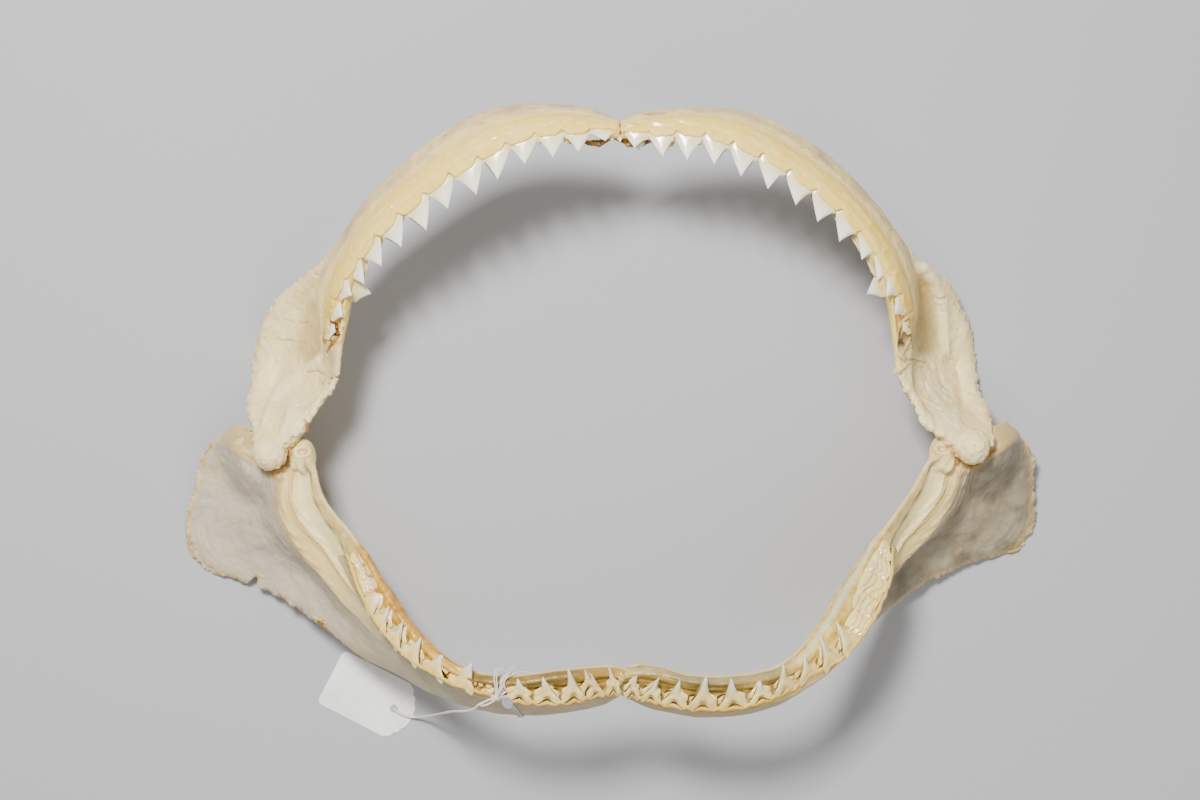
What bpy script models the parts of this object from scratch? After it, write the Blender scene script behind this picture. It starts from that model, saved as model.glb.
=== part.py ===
"""A dried requiem shark jaw, life size, lying on its back with the mouth open to the sky.

The two upper cartilages (palatoquadrates) and the two lower ones (Meckel's cartilages) are lofts
between two margins: an outer one, and the one that carries the teeth. Right and left are the
animal's own, so the right half is at -X. +Y points to the upper jaw, +Z out of the mouth.
All sizes are in millimetres; MM turns them into Blender's metres.
"""

import math

import bmesh
import bpy
import numpy as np
from mathutils import Matrix, Vector

MM = 0.001

# ---- Driving dimensions -------------------------------------------------------------------
GAP = 0.35  # clearance between pieces that touch in life
LOFT_STEPS_PER_STATION = 1.25
SECTION_POINTS = 16
EDGE_BLUNTNESS = 0.55  # 1 gives a knife edge, 0 a square one

# Stations run from the symphysis to the jaw joint. Each has its point on the outer margin,
# then its point on the margin that carries the teeth.
UPPER_RIGHT = [
    ((4.8, 144, 82), (4.8, 136, 93)),
    ((-10, 150, 80), (-8, 137.5, 94)),
    ((-32.5, 153, 79), (-29, 139.5, 95)),
    ((-57.5, 151.5, 77), (-50, 134, 95)),
    ((-82.5, 140.5, 74), (-71, 124, 93)),
    ((-105, 123, 70), (-92.5, 109.5, 90)),
    ((-125.5, 103.5, 63), (-112, 93, 86)),
    ((-141, 83.5, 53), (-126, 76, 81)),
    ((-154.5, 73, 38), (-133, 60, 76)),
    ((-171.5, 62.5, 20), (-135.5, 45, 70)),
    ((-185, 47, 6), (-137, 31, 64)),
    ((-190, 28, -1.2), (-139.5, 15.5, 60)),
    ((-191.5, 10, 9), (-147.5, 4.5, 60)),
    ((-190, -1.5, 27), (-151.5, -3, 62)),
    ((-184, -10, 42), (-160, -13.5, 60)),
    ((-182, -18.5, 50), (-165.5, -20, 56)),
]
UPPER_LEFT = [
    ((5.2, 144, 82), (5.2, 136, 93)),
    ((20, 149.5, 80), (17, 136.5, 94)),
    ((42.5, 151, 79), (39, 139.5, 95)),
    ((67.5, 149.5, 77), (60, 134.5, 95)),
    ((90.5, 140.5, 74), (81, 125.5, 93)),
    ((112.5, 126, 70), (100.5, 112, 90)),
    ((132.5, 107.5, 63), (120, 96, 86)),
    ((149, 88, 53), (134, 77.5, 81)),
    ((162, 75.5, 38), (141.5, 61, 76)),
    ((179, 66.5, 20), (144.5, 45.5, 70)),
    ((190.5, 49, 6), (145, 31, 64)),
    ((196, 29.5, -1.2), (148.5, 15.5, 60)),
    ((196.5, 11, 9), (155, 4.5, 60)),
    ((198.5, 0.5, 27), (160, -6, 62)),
    ((198, -10, 42), (170, -14, 60)),
    ((196.5, -18.5, 48), (175.5, -21, 56)),
]
LOWER_RIGHT = [
    ((5.3, -141, 84), (5.3, -129, 104)),
    ((-6, -147, 80), (-6, -128, 106)),
    ((-25, -151, 79), (-23.5, -129, 108)),
    ((-47.5, -152, 77), (-44, -132, 107)),
    ((-70.5, -149.5, 70), (-65, -131.5, 103)),
    ((-90.5, -143.5, 59), (-81.5, -125, 97)),
    ((-110.5, -135.5, 46), (-94, -114.5, 90)),
    ((-131, -126.5, 34), (-104.5, -101.5, 83)),
    ((-153.5, -111.5, 20), (-114, -87.5, 76)),
    ((-178, -97, 8), (-122.5, -74, 70)),
    ((-199, -90.5, 2), (-132, -61.5, 64)),
    ((-219.5, -82, -1.2), (-141, -51.5, 60)),
    ((-227, -65, 0.3), (-147.5, -41.5, 57)),
    ((-220.5, -41.5, 6), (-150.5, -30.5, 55)),
    ((-213, -21, 13), (-152.5, -22.5, 54)),
    ((-194.5, -7, 22), (-157, -16, 50)),
]
LOWER_LEFT = [
    ((5.7, -141, 84), (5.7, -129, 104)),
    ((20, -148.5, 80), (20.5, -127.5, 106)),
    ((40, -152.5, 79), (40, -131.5, 108)),
    ((64, -152.5, 77), (61, -132, 107)),
    ((86, -147.5, 70), (82.5, -129, 103)),
    ((103, -139.5, 57), (96.5, -120.5, 97)),
    ((118, -129, 42), (105.5, -109.5, 91)),
    ((132, -116, 28), (115, -96, 84)),
    ((148.5, -104, 16), (124, -81.5, 77)),
    ((168, -90.5, 8), (132.5, -68, 71)),
    ((190.5, -81, 3), (141, -58, 66)),
    ((215, -75.5, -1.2), (149, -47, 61)),
    ((226, -64, 0.3), (156.5, -36.5, 58)),
    ((226, -42.5, 6), (162, -27, 56)),
    ((223, -22, 13), (167.5, -20, 55)),
    ((207, -6, 22), (172, -13.5, 50)),
]

# The ridge that carries the lower gum, at the first eleven stations: how far across the section
# it stands (0 outer margin, 1 inner) and how far out of it. The right half has dried flatter.
RIDGE_RIGHT = [
    (0.60, 4), (0.60, 5.5), (0.57, 7), (0.64, 5), (0.74, 3.2), (0.80, 3.5),
    (0.84, 5.5), (0.845, 7.2), (0.87, 7), (0.90, 4.5), (0.93, 1.5),
]
RIDGE_LEFT = [
    (0.57, 4.5), (0.54, 7.5), (0.56, 7.5), (0.59, 7.8), (0.67, 7.5), (0.75, 10.2),
    (0.81, 13), (0.83, 15), (0.845, 14), (0.87, 9.3), (0.93, 2),
]

# Front-row teeth from the symphysis backwards: station, height of the crown, and how far its tip
# leans back towards the joint.
UPPER_RIGHT_TEETH = [
    (0.78, 6, -1), (1.44, 13.6, 1.2), (2.04, 16.1, 1.8), (2.72, 16.4, 3.2), (3.4, 18.2, 4.8),
    (4.08, 19.5, 3.9), (4.7, 17, 4.6), (5.3, 18.5, 5.2), (5.94, 15.4, 5.4), (6.6, 13.4, 6),
    (7.26, 10.8, 5.6), (7.94, 12.5, 0.5), (8.7, 12, 1.5), (9.4, 7.5, 0.3),
]
UPPER_LEFT_TEETH = [
    (0.78, 8.6, 0.3), (1.42, 14.9, 3.6), (2.04, 17, 3), (2.7, 16.9, 4), (3.38, 17.9, 4.4),
    (4.06, 17.2, 4.4), (4.74, 15.6, 5.8), (5.38, 15.1, 4.6), (6, 14.3, 4.8), (6.6, 10.6, 5.6),
    (7.22, 8.9, 6.2), (7.88, 12, 3.2), (8.56, 12, 2.4), (9.26, 6.5, 2.5),
]
LOWER_RIGHT_TEETH = [
    (0.45, 15, 2.5), (1.05, 13, 2.4), (1.72, 17.5, 3), (2.35, 13, 3), (2.98, 11, 2.4),
    (3.56, 5, 1), (4.36, 13, -1), (5.14, 9.5, 0.5), (5.96, 11.5, 1.9), (6.54, 10.8, 3),
    (7.12, 8.7, 4), (7.7, 7, 1.5), (8.2, 6.4, 0.6), (8.7, 6.7, 0.6), (9.2, 5.6, 0.5),
]
LOWER_LEFT_TEETH = [
    (0.46, 11.6, 2), (1, 13, 3.5), (1.62, 13.2, 2), (2.24, 18.5, 1.6), (2.9, 15.9, 0.3),
    (3.5, 10.2, 1), (4, 14.8, 1.3), (4.7, 12.8, 1.3), (5.4, 15.5, 1.5), (6.08, 16, 1.6),
    (6.9, 13, 1.3), (7.7, 12.5, 1.2), (8.45, 9, 0.9), (9.1, 5.5, 0.5),
]
# A crown's sections: how far towards the tip, then its share of the full width and thickness.
UPPER_CROWN = [(0, 1, 1), (0.3, 1, 1), (0.6, 0.48, 0.8), (1, 0.06, 0.25)]
LOWER_CROWN = [(0, 0.9, 1), (0.22, 0.88, 1), (0.45, 0.36, 0.75), (1, 0.07, 0.25)]
ROOT_DEPTH = 2.5  # how deep the crowns sit in the jaw
LOWER_TEETH_TILT = 0.6  # rise out of the mouth for each unit across it
LOST_TOOTH = 5  # in the lower right row, where the tag's string is tied

# Jaw joint: centre of each ball, and its three radii.
BALL_RIGHT, BALL_LEFT = (-174, -21, 54), (185.5, -18.5, 54)
BALL_RADII = (9.2, 9.2, 9.2)
CUP_DROP, CUP_RADII = 5.0, (13.5, 12.5, 8)
PROCESS_RIGHT, PROCESS_LEFT = (-157, -21, 53), (170, -19.5, 53)
PROCESS_RADII = (5.5, 6.5, 6.5)
LIGAMENT_RIGHT, LIGAMENT_LEFT = (-163.8, -23.8, 50.5), (177, -23, 50.5)
LIGAMENT_RADII = (3.4, 7.5, 5.8)
PIT_RADII = (2.2, 1.8, 1.6)  # the ring-shaped pit on top of each process
WING_NOTCH, NOTCH_RADII = (-190, -92.5, 6), (5.5, 3.0, 12)  # torn out of the right wing's edge
UPPER_PAD, UPPER_PAD_RADII = (5, 138, 84), (7, 4, 5)
LOWER_PAD, LOWER_PAD_RADII = (5.5, -130.5, 97), (6, 4, 6)

# Card tag on the floor, and the string that ties it to the jaw.
TAG_LENGTH, TAG_WIDTH, TAG_THICK = 49.0, 32.0, 0.6
TAG_FAR_END, TAG_HOLE = (-149.5, -142.5), (-115.5, -160.0)
TAG_HOLE_RADIUS, TAG_CORNER = 2.0, 3.0
STRING_RADIUS = 0.6
STRING_STATION = 3.55
STRING_LIFT = 1.8  # from the skin of the jaw to the middle of the string
KNOT_AT, KNOT_RADII = 0.74, (2.6, 2.6, 2.0)  # how far across the jaw the knot sits
TAILS = [((0.6, 3, 2), (-0.5, 8, 4.5), (-1.8, 13.5, 4)), ((1.6, 2.5, 2), (3.5, 7, 5), (5.5, 12, 5.5))]
STRING_START = [(-4.0, -0.8, -0.2), (-6.2, -2.2, -2.6)]  # from the knot
STRING_ROUTE = [
    (-67, -147, 93), (-71.2, -149.4, 84), (-75.4, -151, 74), (-80.5, -153.4, 58), (-85.7, -156.4, 42),
    (-91, -159.5, 26), (-96.8, -162.3, 12), (-102.2, -163.9, 4.5), (-107.8, -164.1, 2.0),
    (-111.6, -162.5, 1.9), (-114.4, -160.8, 2.3), (-115.5, -160, 0.8),
]
SEAL_STATION, SEAL_AT, SEAL_LIFT, SEAL_RADII = 3.2, 0.5, 2.6, (2.3, 3.2, 0.8)

BONE = (0.83, 0.76, 0.60)
GREY_BONE = (0.72, 0.68, 0.60)
TISSUE = (0.55, 0.33, 0.12)


# ---- Small helpers ------------------------------------------------------------------------
def rise(x, low, high):
    """0 below low, 1 above high, and a smooth climb between."""
    f = min(1.0, max(0.0, (x - low) / (high - low)))
    return f * f * (3 - 2 * f)


def bell(x, centre, width):
    return math.exp(-(((x - centre) / width) ** 2))


def spline(points, s):
    """Catmull-Rom curve through equally spaced stations."""
    last = len(points) - 1
    i = min(max(int(s), 0), last - 1)
    f = s - i
    p0, p1, p2, p3 = (np.array(points[min(max(j, 0), last)], float) for j in range(i - 1, i + 3))
    return 0.5 * (2 * p1 + (p2 - p0) * f + (2 * p0 - 5 * p1 + 4 * p2 - p3) * f**2
                  + (3 * p1 - p0 - 3 * p2 + p3) * f**3)


def unit(v):
    return v / np.linalg.norm(v)


# ---- Shape of the cartilage ---------------------------------------------------------------
def upper_relief(s, u, ridge):
    """(bend, crown, belly, ridge) of an upper half in mm: how far the plate is bent out of the
    straight line between its margins, its thickness towards the skin side and the mouth side, and
    how far a gum ridge stands out of it. Past the teeth the plate drops into the jaw muscle's
    hollow, and at the joint it thickens into a knob."""
    toothed = 1 - rise(s, 7.5, 10.5)
    fold = np.interp(s, [7, 8, 9, 10, 11.5], [0.05, 0.3, 0.63, 0.8, 0.97])
    hollow = rise(s, 6.8, 9) * (1 - rise(s, 11.5, 13.5)) * (1 - rise(u, fold - 0.13, fold))
    hollow = hollow * rise(u, 0.05, 0.3)
    margin = rise(s, 8.5, 9.5) * (1 - rise(s, 13, 14)) * bell(u, 0.12, 0.08)
    knob = 4.5 * rise(s, 13.2, 15)
    crown = 1.7 + 1.1 * toothed + 1.3 * margin + knob
    belly = toothed * (3 + 4.5 * rise(u, 0.25, 0.8)) + (1 - toothed) * (2.6 + 1.8 * rise(u, 0.55, 1)) + knob
    return -7 * hollow, crown, belly, 0


def lower_relief(s, u, ridge):
    """The same for a lower half: a gum ridge with a trough behind it, a hollow for the jaw muscle in
    the wing, and a long groove between two ridges in front of the joint."""
    toothed = 1 - rise(s, 8.5, 10.5)
    wing = rise(s, 6.5, 9.5) * (1 - rise(s, 14, 15.2))
    side_ridge = np.interp(s, [8, 9, 10, 11, 12, 15], [0.5, 0.56, 0.62, 0.7, 0.73, 0.78])
    hollow = wing * (1 - rise(u, side_ridge - 0.3, side_ridge)) * rise(u, 0.02, 0.3)
    groove = rise(s, 8.5, 10) * (1 - rise(s, 13.5, 14.5)) * bell(u, side_ridge + 0.15, 0.06)
    at, height = spline(ridge, min(s, len(ridge) - 1))
    behind = (u - at) / (1 - at)
    stands = rise(u, at - 0.3, at) if u < at else 1 - behind
    trough = toothed * bell(behind, 0.55, 0.25) * rise(s, 0, 0.6)
    bend = -7.5 * hollow - 1.6 * groove - 2.4 * trough
    crown = 1.8 + 1.2 * wing * bell(u, side_ridge, 0.08)
    belly = toothed * (3.5 + 2.5 * rise(u, 0.2, 0.6)) + (1 - toothed) * (2.4 + 2.2 * rise(u, 0.5, 0.9))
    return bend, crown, belly, toothed * (height - 1.4) * stands


class Half:
    """One cartilage: its two margins, its relief, and which way its skin side faces."""

    def __init__(self, stations, relief, turn, ridge=None):
        self.outer = [a for a, _ in stations]
        self.inner = [b for _, b in stations]
        self.relief, self.turn, self.ridge = relief, turn, ridge
        self.last = len(stations) - 1

    def axes(self, s):
        """Outer point, inner point, direction along the jaw, across it, and out of its skin side."""
        a, b = spline(self.outer, s), spline(self.inner, s)
        low, high = max(s - 0.3, 0), min(s + 0.3, self.last)
        along = unit(spline(self.outer, high) + spline(self.inner, high)
                     - spline(self.outer, low) - spline(self.inner, low))
        ahead = np.array([np.sign(along[0]), 0, 0])
        along = unit(along + (ahead - along) * (1 - rise(s, 0, 1)))  # the symphysis is a flat face
        across = unit(b - a)
        out = unit(np.cross(along, across)) * self.turn
        return a, b, along, across, out

    def point(self, s, angle, grow=0.0):
        """A point of the skin at a station; angle runs 0..pi over the skin side, then back below."""
        a, b, _, across, out = self.axes(s)
        u = (1 - math.cos(angle)) / 2
        bend, crown, belly, ridge = self.relief(s, u, self.ridge)
        side = math.sin(angle)
        blunt = abs(side) ** EDGE_BLUNTNESS
        lift = bend * abs(side) + ((crown + grow) * blunt + ridge if side > 0 else -(belly + grow) * blunt)
        return a + (b - a) * u - across * grow * math.cos(angle) + out * lift

    def top(self, s, u):
        return self.point(s, math.acos(1 - 2 * u))


HALVES = {
    "upper_right": Half(UPPER_RIGHT, upper_relief, 1),
    "upper_left": Half(UPPER_LEFT, upper_relief, -1),
    "lower_right": Half(LOWER_RIGHT, lower_relief, -1, RIDGE_RIGHT),
    "lower_left": Half(LOWER_LEFT, lower_relief, 1, RIDGE_LEFT),
}


# ---- Objects ------------------------------------------------------------------------------
def collection(name):
    made = bpy.data.collections.new(name)
    bpy.context.scene.collection.children.link(made)
    return made


def material(name, colour, roughness):
    made = bpy.data.materials.new(name)
    made.use_nodes = True
    shader = made.node_tree.nodes["Principled BSDF"]
    shader.inputs["Base Color"].default_value = (*colour, 1)
    shader.inputs["Roughness"].default_value = roughness
    shader.inputs["Metallic"].default_value = 0
    return made


def add_object(name, bm, home, finish=None):
    """Turns a bmesh in millimetres into an object in metres."""
    bmesh.ops.recalc_face_normals(bm, faces=bm.faces)
    bmesh.ops.scale(bm, vec=(MM, MM, MM), verts=bm.verts)
    mesh = bpy.data.meshes.new(name)
    bm.to_mesh(mesh)
    bm.free()
    mesh.shade_smooth()
    obj = bpy.data.objects.new(name, mesh)
    home.objects.link(obj)
    if finish:
        mesh.materials.append(finish)
    return obj


def cutter(name, bm):
    obj = add_object(name, bm, GUIDES)
    obj.hide_render = True
    obj.display_type = "WIRE"
    return obj


def combine(target, other, operation):
    """Applies a Boolean of the other object to the target."""
    modifier = target.modifiers.new(operation.lower(), "BOOLEAN")
    modifier.operation, modifier.object, modifier.solver = operation, other, "EXACT"
    bpy.context.view_layer.update()
    evaluated = target.evaluated_get(bpy.context.evaluated_depsgraph_get())
    mesh = bpy.data.meshes.new_from_object(evaluated)
    target.modifiers.remove(modifier)
    target.data = mesh


def skin_rings(bm, rings):
    """Joins rings of equal length by quads, and closes both ends."""
    rings = [[bm.verts.new(p) for p in ring] for ring in rings]
    for near, far in zip(rings, rings[1:]):
        for k in range(len(near)):
            j = (k + 1) % len(near)
            bm.faces.new((near[k], near[j], far[j], far[k]))
    bmesh.ops.triangulate(bm, faces=[bm.faces.new(rings[0]), bm.faces.new(rings[-1])])


def loft(half, first=0.0, grow=0.0):
    """A cartilage from one of its stations to the joint."""
    bm = bmesh.new()
    count = round((half.last - first) * LOFT_STEPS_PER_STATION)
    steps = [first + (half.last - first) * i / count for i in range(count + 1)]
    turn = [2 * math.pi * k / SECTION_POINTS for k in range(SECTION_POINTS)]
    skin_rings(bm, [[half.point(s, a, grow) for a in turn] for s in steps])
    return bm


def ellipsoid(centre, radii, grow=0.0, turned=0.0, segments=10, facing=(0, 0, 1)):
    bm = bmesh.new()
    shape = (Matrix.Translation(centre) @ Vector(facing).to_track_quat("Z", "Y").to_matrix().to_4x4()
             @ Matrix.Rotation(turned, 4, "Z") @ Matrix.Diagonal([*(r + grow for r in radii), 1]))
    bmesh.ops.create_uvsphere(bm, u_segments=segments, v_segments=segments // 2, radius=1, matrix=shape)
    return bm


def blade(bm, base, tip, along, up, width, thick, shape):
    """A tooth from the middle of its base to its tip: flattened six-sided rings that drift from
    straight above the base over to the tip."""
    flat = unit(np.cross(along, up))
    height, drift = float(np.dot(tip - base, up)), float(np.dot(tip - base, along))
    rings = []
    for reach, part_width, part_thick in shape:
        middle = base + (up * height * reach + along * drift * reach**1.5 if reach else -up * ROOT_DEPTH)
        rings.append([middle + along * width / 2 * part_width * math.cos(a)
                      + flat * thick / 2 * part_thick * math.sin(a)
                      for a in (math.pi / 3 * k for k in range(6))])
    skin_rings(bm, rings)


def row_of_teeth(row, base_of, lost=None):
    """Shares the gum line out between the teeth: each gets its share's middle and width."""
    marks = [base_of(s) for s, *_ in row]
    marks = [2 * marks[0] - marks[1], *marks, 2 * marks[-1] - marks[-2]]
    for index, (s, height, *_) in enumerate(row):
        start, end = (marks[index] + marks[index + 1]) / 2, (marks[index + 1] + marks[index + 2]) / 2
        if index != lost:
            yield index, s, height, (start + end) / 2, float(np.linalg.norm(end - start))


def upper_gum(half, s):
    """Where the upper crowns leave the gum."""
    return half.top(s, 0.9 - 0.06 * rise(s, 7, 9)) - half.axes(s)[4] * 1.2


def upper_frame(half, s):
    """Directions of an upper tooth: along the jaw, and towards its tip. The rear ones lie on the
    plate and follow its slope."""
    _, _, along, across, _ = half.axes(s)
    level = unit(np.array([across[0], across[1], 0]))
    tilt = 0.1 + 0.9 * across[2] / math.hypot(across[0], across[1]) * rise(s, 7, 8.5)
    inwards = unit(level + np.array([0, 0, tilt]))
    return unit(along - inwards * np.dot(along, inwards)), inwards


def upper_teeth(half, row):
    """Broad triangles that stand in the plane of the mouth, edge to edge."""
    bm = bmesh.new()
    for index, s, height, base, width in row_of_teeth(row, lambda s: upper_gum(half, s)):
        along, inwards = upper_frame(half, s)
        tip = base + inwards * height + along * row[index][2]
        blade(bm, base, tip, along, inwards, width - 0.5, 3.4, UPPER_CROWN)
    return bm


def lower_gum(half, s):
    """Where the roots of the lower teeth leave the gum: behind its ridge in front, on it at the back."""
    u = spline(half.ridge, s)[0] + 0.12 - 0.1 * rise(s, 4.5, 6)
    return half.top(s, u) + half.axes(s)[4] * 0.6


def lower_frame(half, s):
    """Directions of a lower tooth: along the jaw, and towards its tip."""
    _, _, along, across, _ = half.axes(s)
    up = unit(unit(np.array([across[0], across[1], 0])) + np.array([0, 0, LOWER_TEETH_TILT]))
    return unit(along - up * np.dot(along, up)), up


def lower_teeth(half, row, lost=None):
    """Narrow cusps on wide roots, set on the gum ridge and pointing across and out of the mouth."""
    bm = bmesh.new()
    for index, s, height, base, width in row_of_teeth(row, lambda s: lower_gum(half, s), lost):
        along, up = lower_frame(half, s)
        tip = base + up * height + along * row[index][2]
        blade(bm, base, tip, along, up, width - 0.7, 4.6, LOWER_CROWN)
    return bm


def jaw_half(name, teeth, extras):
    """One cartilage with its front row of teeth and its part of the jaw joint."""
    obj = add_object(name, loft(HALVES[name]), MODEL, BONE_FINISH)
    for number, extra in enumerate([*extras, teeth], 1):
        combine(obj, cutter(f"{name}_part_{number}", extra), "UNION")
    return obj


def trim(obj):
    """Drops crumbs that the cuts leave loose, and what would sink below the floor. That leaves the
    small flats that the jaw rests on."""
    bm = bmesh.new()
    bm.from_mesh(obj.data)
    bodies, left = [], set(bm.verts)
    while left:
        front = [left.pop()]
        body = list(front)
        while front:
            near = {e.other_vert(v) for v in front for e in v.link_edges} & left
            left -= near
            front = list(near)
            body += front
        bodies.append(body)
    bodies.sort(key=len)
    bmesh.ops.delete(bm, geom=[v for body in bodies[:-1] for v in body], context="VERTS")
    cut = bmesh.ops.bisect_plane(bm, geom=[*bm.verts, *bm.edges, *bm.faces], plane_co=(0, 0, 0),
                                 plane_no=(0, 0, 1), clear_inner=True, dist=1e-7)
    rim = [g for g in cut["geom_cut"] if isinstance(g, bmesh.types.BMEdge)]
    if rim:
        bmesh.ops.holes_fill(bm, edges=rim)
    bm.to_mesh(obj.data)
    bm.free()


def tube(name, points, radius, home, finish, cyclic=False):
    """A string: a poly curve with a round bevel."""
    curve = bpy.data.curves.new(name, "CURVE")
    curve.dimensions, curve.bevel_depth, curve.bevel_resolution = "3D", radius * MM, 1
    curve.use_fill_caps = not cyclic
    run = curve.splines.new("POLY")
    run.points.add(len(points) - 1)
    for p, at in zip(run.points, points):
        p.co = (*(np.array(at) * MM), 1)
    run.use_cyclic_u = cyclic
    obj = bpy.data.objects.new(name, curve)
    home.objects.link(obj)
    curve.materials.append(finish)
    return obj


def as_mesh(obj):
    """Turns a string into a mesh object, so that it can be cut or joined."""
    bpy.context.view_layer.update()
    mesh = bpy.data.meshes.new_from_object(obj.evaluated_get(bpy.context.evaluated_depsgraph_get()))
    bm = bmesh.new()
    bm.from_mesh(mesh)
    bmesh.ops.remove_doubles(bm, verts=bm.verts, dist=1e-6)
    bmesh.ops.recalc_face_normals(bm, faces=bm.faces)
    bm.to_mesh(mesh)
    bm.free()
    made = bpy.data.objects.new(obj.name + "_mesh", mesh)
    obj.users_collection[0].objects.link(made)
    bpy.data.objects.remove(obj)
    return made


def taut_loop(half, s, lift):
    """The way of a taut string round a section: the corners of the section's convex hull."""
    origin, _, _, across, out = half.axes(s)
    ring = [half.point(s, 2 * math.pi * k / 40, lift) - origin for k in range(40)]
    flat = sorted((float(np.dot(p, across)), float(np.dot(p, out))) for p in ring)

    def chain(points):
        kept = []
        for p in points:
            while len(kept) > 1 and ((kept[-1][0] - kept[-2][0]) * (p[1] - kept[-2][1])
                                     <= (kept[-1][1] - kept[-2][1]) * (p[0] - kept[-2][0])):
                kept.pop()
            kept.append(p)
        return kept[:-1]

    hull = chain(flat) + chain(flat[::-1])
    spaced = [hull[0]]
    for p in hull[1:]:
        if math.dist(p, spaced[-1]) > 2.5 and math.dist(p, hull[0]) > 2.5:
            spaced.append(p)
    return [origin + across * x + out * y for x, y in spaced]


def tag_outline():
    """Half of the card's outline, from the far end to the tied end: a round corner, then two bites
    and a round nose."""
    half = TAG_WIDTH / 2
    corner = [(TAG_CORNER * (1 - math.cos(a)), half - TAG_CORNER * (1 - math.sin(a)))
              for a in np.linspace(0, math.pi / 2, 5)]
    bite, nose = 3.2, half - 7.0
    first = [(TAG_LENGTH - 8.5 + bite * math.sin(a), half - 1.0 - bite * (1 - math.cos(a)) * 0.9)
             for a in np.linspace(0, math.pi / 2, 4)]
    second = [(TAG_LENGTH - 5.0 + 2.4 * math.sin(a), nose + 2.2 - 2.6 * (1 - math.cos(a)))
              for a in np.linspace(0, math.pi / 2, 4)]
    end = [(TAG_LENGTH - 2.2 + 2.2 * math.cos(a), (nose - 1.8) * math.sin(a))
           for a in np.linspace(math.pi / 2, 0, 7)]
    return corner + [(TAG_LENGTH - 8.5, half)] + first + second + end


def tag(finish):
    """The card lies on the floor with its hole towards the jaw."""
    upper = tag_outline()
    outline = upper + [(x, -y) for x, y in reversed(upper[:-1])]
    curve = bpy.data.curves.new("tag", "CURVE")
    curve.dimensions, curve.fill_mode, curve.extrude = "2D", "BOTH", TAG_THICK * MM / 2
    way = unit(np.array(TAG_HOLE) - np.array(TAG_FAR_END))
    reach = np.linalg.norm(np.array(TAG_HOLE) - np.array(TAG_FAR_END))
    hole = [(reach + TAG_HOLE_RADIUS * math.cos(a), TAG_HOLE_RADIUS * math.sin(a))
            for a in np.linspace(0, 2 * math.pi, 16, endpoint=False)]
    for loop in (outline, hole):
        run = curve.splines.new("POLY")
        run.points.add(len(loop) - 1)
        for p, (x, y) in zip(run.points, loop):
            p.co = (x * MM, y * MM, 0, 1)
        run.use_cyclic_u = True
    obj = bpy.data.objects.new("tag", curve)
    obj.location = (TAG_FAR_END[0] * MM, TAG_FAR_END[1] * MM, TAG_THICK * MM / 2)
    obj.rotation_euler.z = math.atan2(way[1], way[0])
    MODEL.objects.link(obj)
    curve.materials.append(finish)
    return obj


# ---- Build --------------------------------------------------------------------------------
for old in list(bpy.data.objects):
    bpy.data.objects.remove(old)
MODEL, GUIDES = collection("shark_jaw"), collection("cutters")
BONE_FINISH = material("cartilage", BONE, 0.5)
TISSUE_FINISH = material("ligament", TISSUE, 0.35)
CARD_FINISH = material("card", (0.86, 0.86, 0.84), 0.7)
STRING_FINISH = material("string", (0.75, 0.73, 0.70), 0.8)
SEAL_FINISH = material("seal", (0.55, 0.56, 0.58), 0.4)

def ball_and_cup(ball):
    """What the lower half holds round the ball before its socket is cut."""
    return ellipsoid((ball[0], ball[1] - 1, ball[2] - CUP_DROP), CUP_RADII)


upper_right = jaw_half("upper_right", upper_teeth(HALVES["upper_right"], UPPER_RIGHT_TEETH),
                       [ellipsoid(BALL_RIGHT, BALL_RADII)])
upper_left = jaw_half("upper_left", upper_teeth(HALVES["upper_left"], UPPER_LEFT_TEETH),
                      [ellipsoid(BALL_LEFT, BALL_RADII)])
lower_right = jaw_half("lower_right", lower_teeth(HALVES["lower_right"], LOWER_RIGHT_TEETH, LOST_TOOTH),
                       [ball_and_cup(BALL_RIGHT), ellipsoid(PROCESS_RIGHT, PROCESS_RADII)])
lower_left = jaw_half("lower_left", lower_teeth(HALVES["lower_left"], LOWER_LEFT_TEETH),
                      [ball_and_cup(BALL_LEFT), ellipsoid(PROCESS_LEFT, PROCESS_RADII)])

# Each ball lies in a socket of the lower half, cut to its shape with a little clearance.
SOCKET_FROM = 11.0
for upper, lower, ball in (("upper_right", lower_right, BALL_RIGHT), ("upper_left", lower_left, BALL_LEFT)):
    combine(lower, cutter("socket_ball", ellipsoid(ball, BALL_RADII, GAP)), "DIFFERENCE")
    combine(lower, cutter("socket_end", loft(HALVES[upper], SOCKET_FROM, GAP)), "DIFFERENCE")

for lower, process in ((lower_right, PROCESS_RIGHT), (lower_left, PROCESS_LEFT)):
    pit = (process[0], process[1], process[2] + PROCESS_RADII[2])
    combine(lower, cutter("pit", ellipsoid(pit, PIT_RADII, 0, 0, 8)), "DIFFERENCE")
combine(lower_right, cutter("wing_notch", ellipsoid(WING_NOTCH, NOTCH_RADII, 0, 0.9, 8)), "DIFFERENCE")

# Dried tissue bridges the joints and the two symphyses, in pockets of the pieces on either side.
for name, centre, radii, turned, sides in (
    ("joint_ligament_right", LIGAMENT_RIGHT, LIGAMENT_RADII, -0.5, (upper_right, lower_right)),
    ("joint_ligament_left", LIGAMENT_LEFT, LIGAMENT_RADII, 0.5, (upper_left, lower_left)),
    ("upper_symphysis", UPPER_PAD, UPPER_PAD_RADII, 0, (upper_right, upper_left)),
    ("lower_symphysis", LOWER_PAD, LOWER_PAD_RADII, 0, (lower_right, lower_left)),
):
    add_object(name, ellipsoid(centre, radii, 0, turned), MODEL, TISSUE_FINISH)
    for side in sides:
        combine(side, cutter(name + "_pocket", ellipsoid(centre, radii, GAP, turned)), "DIFFERENCE")

for obj in (upper_right, upper_left, lower_right, lower_left):
    trim(obj)

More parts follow.
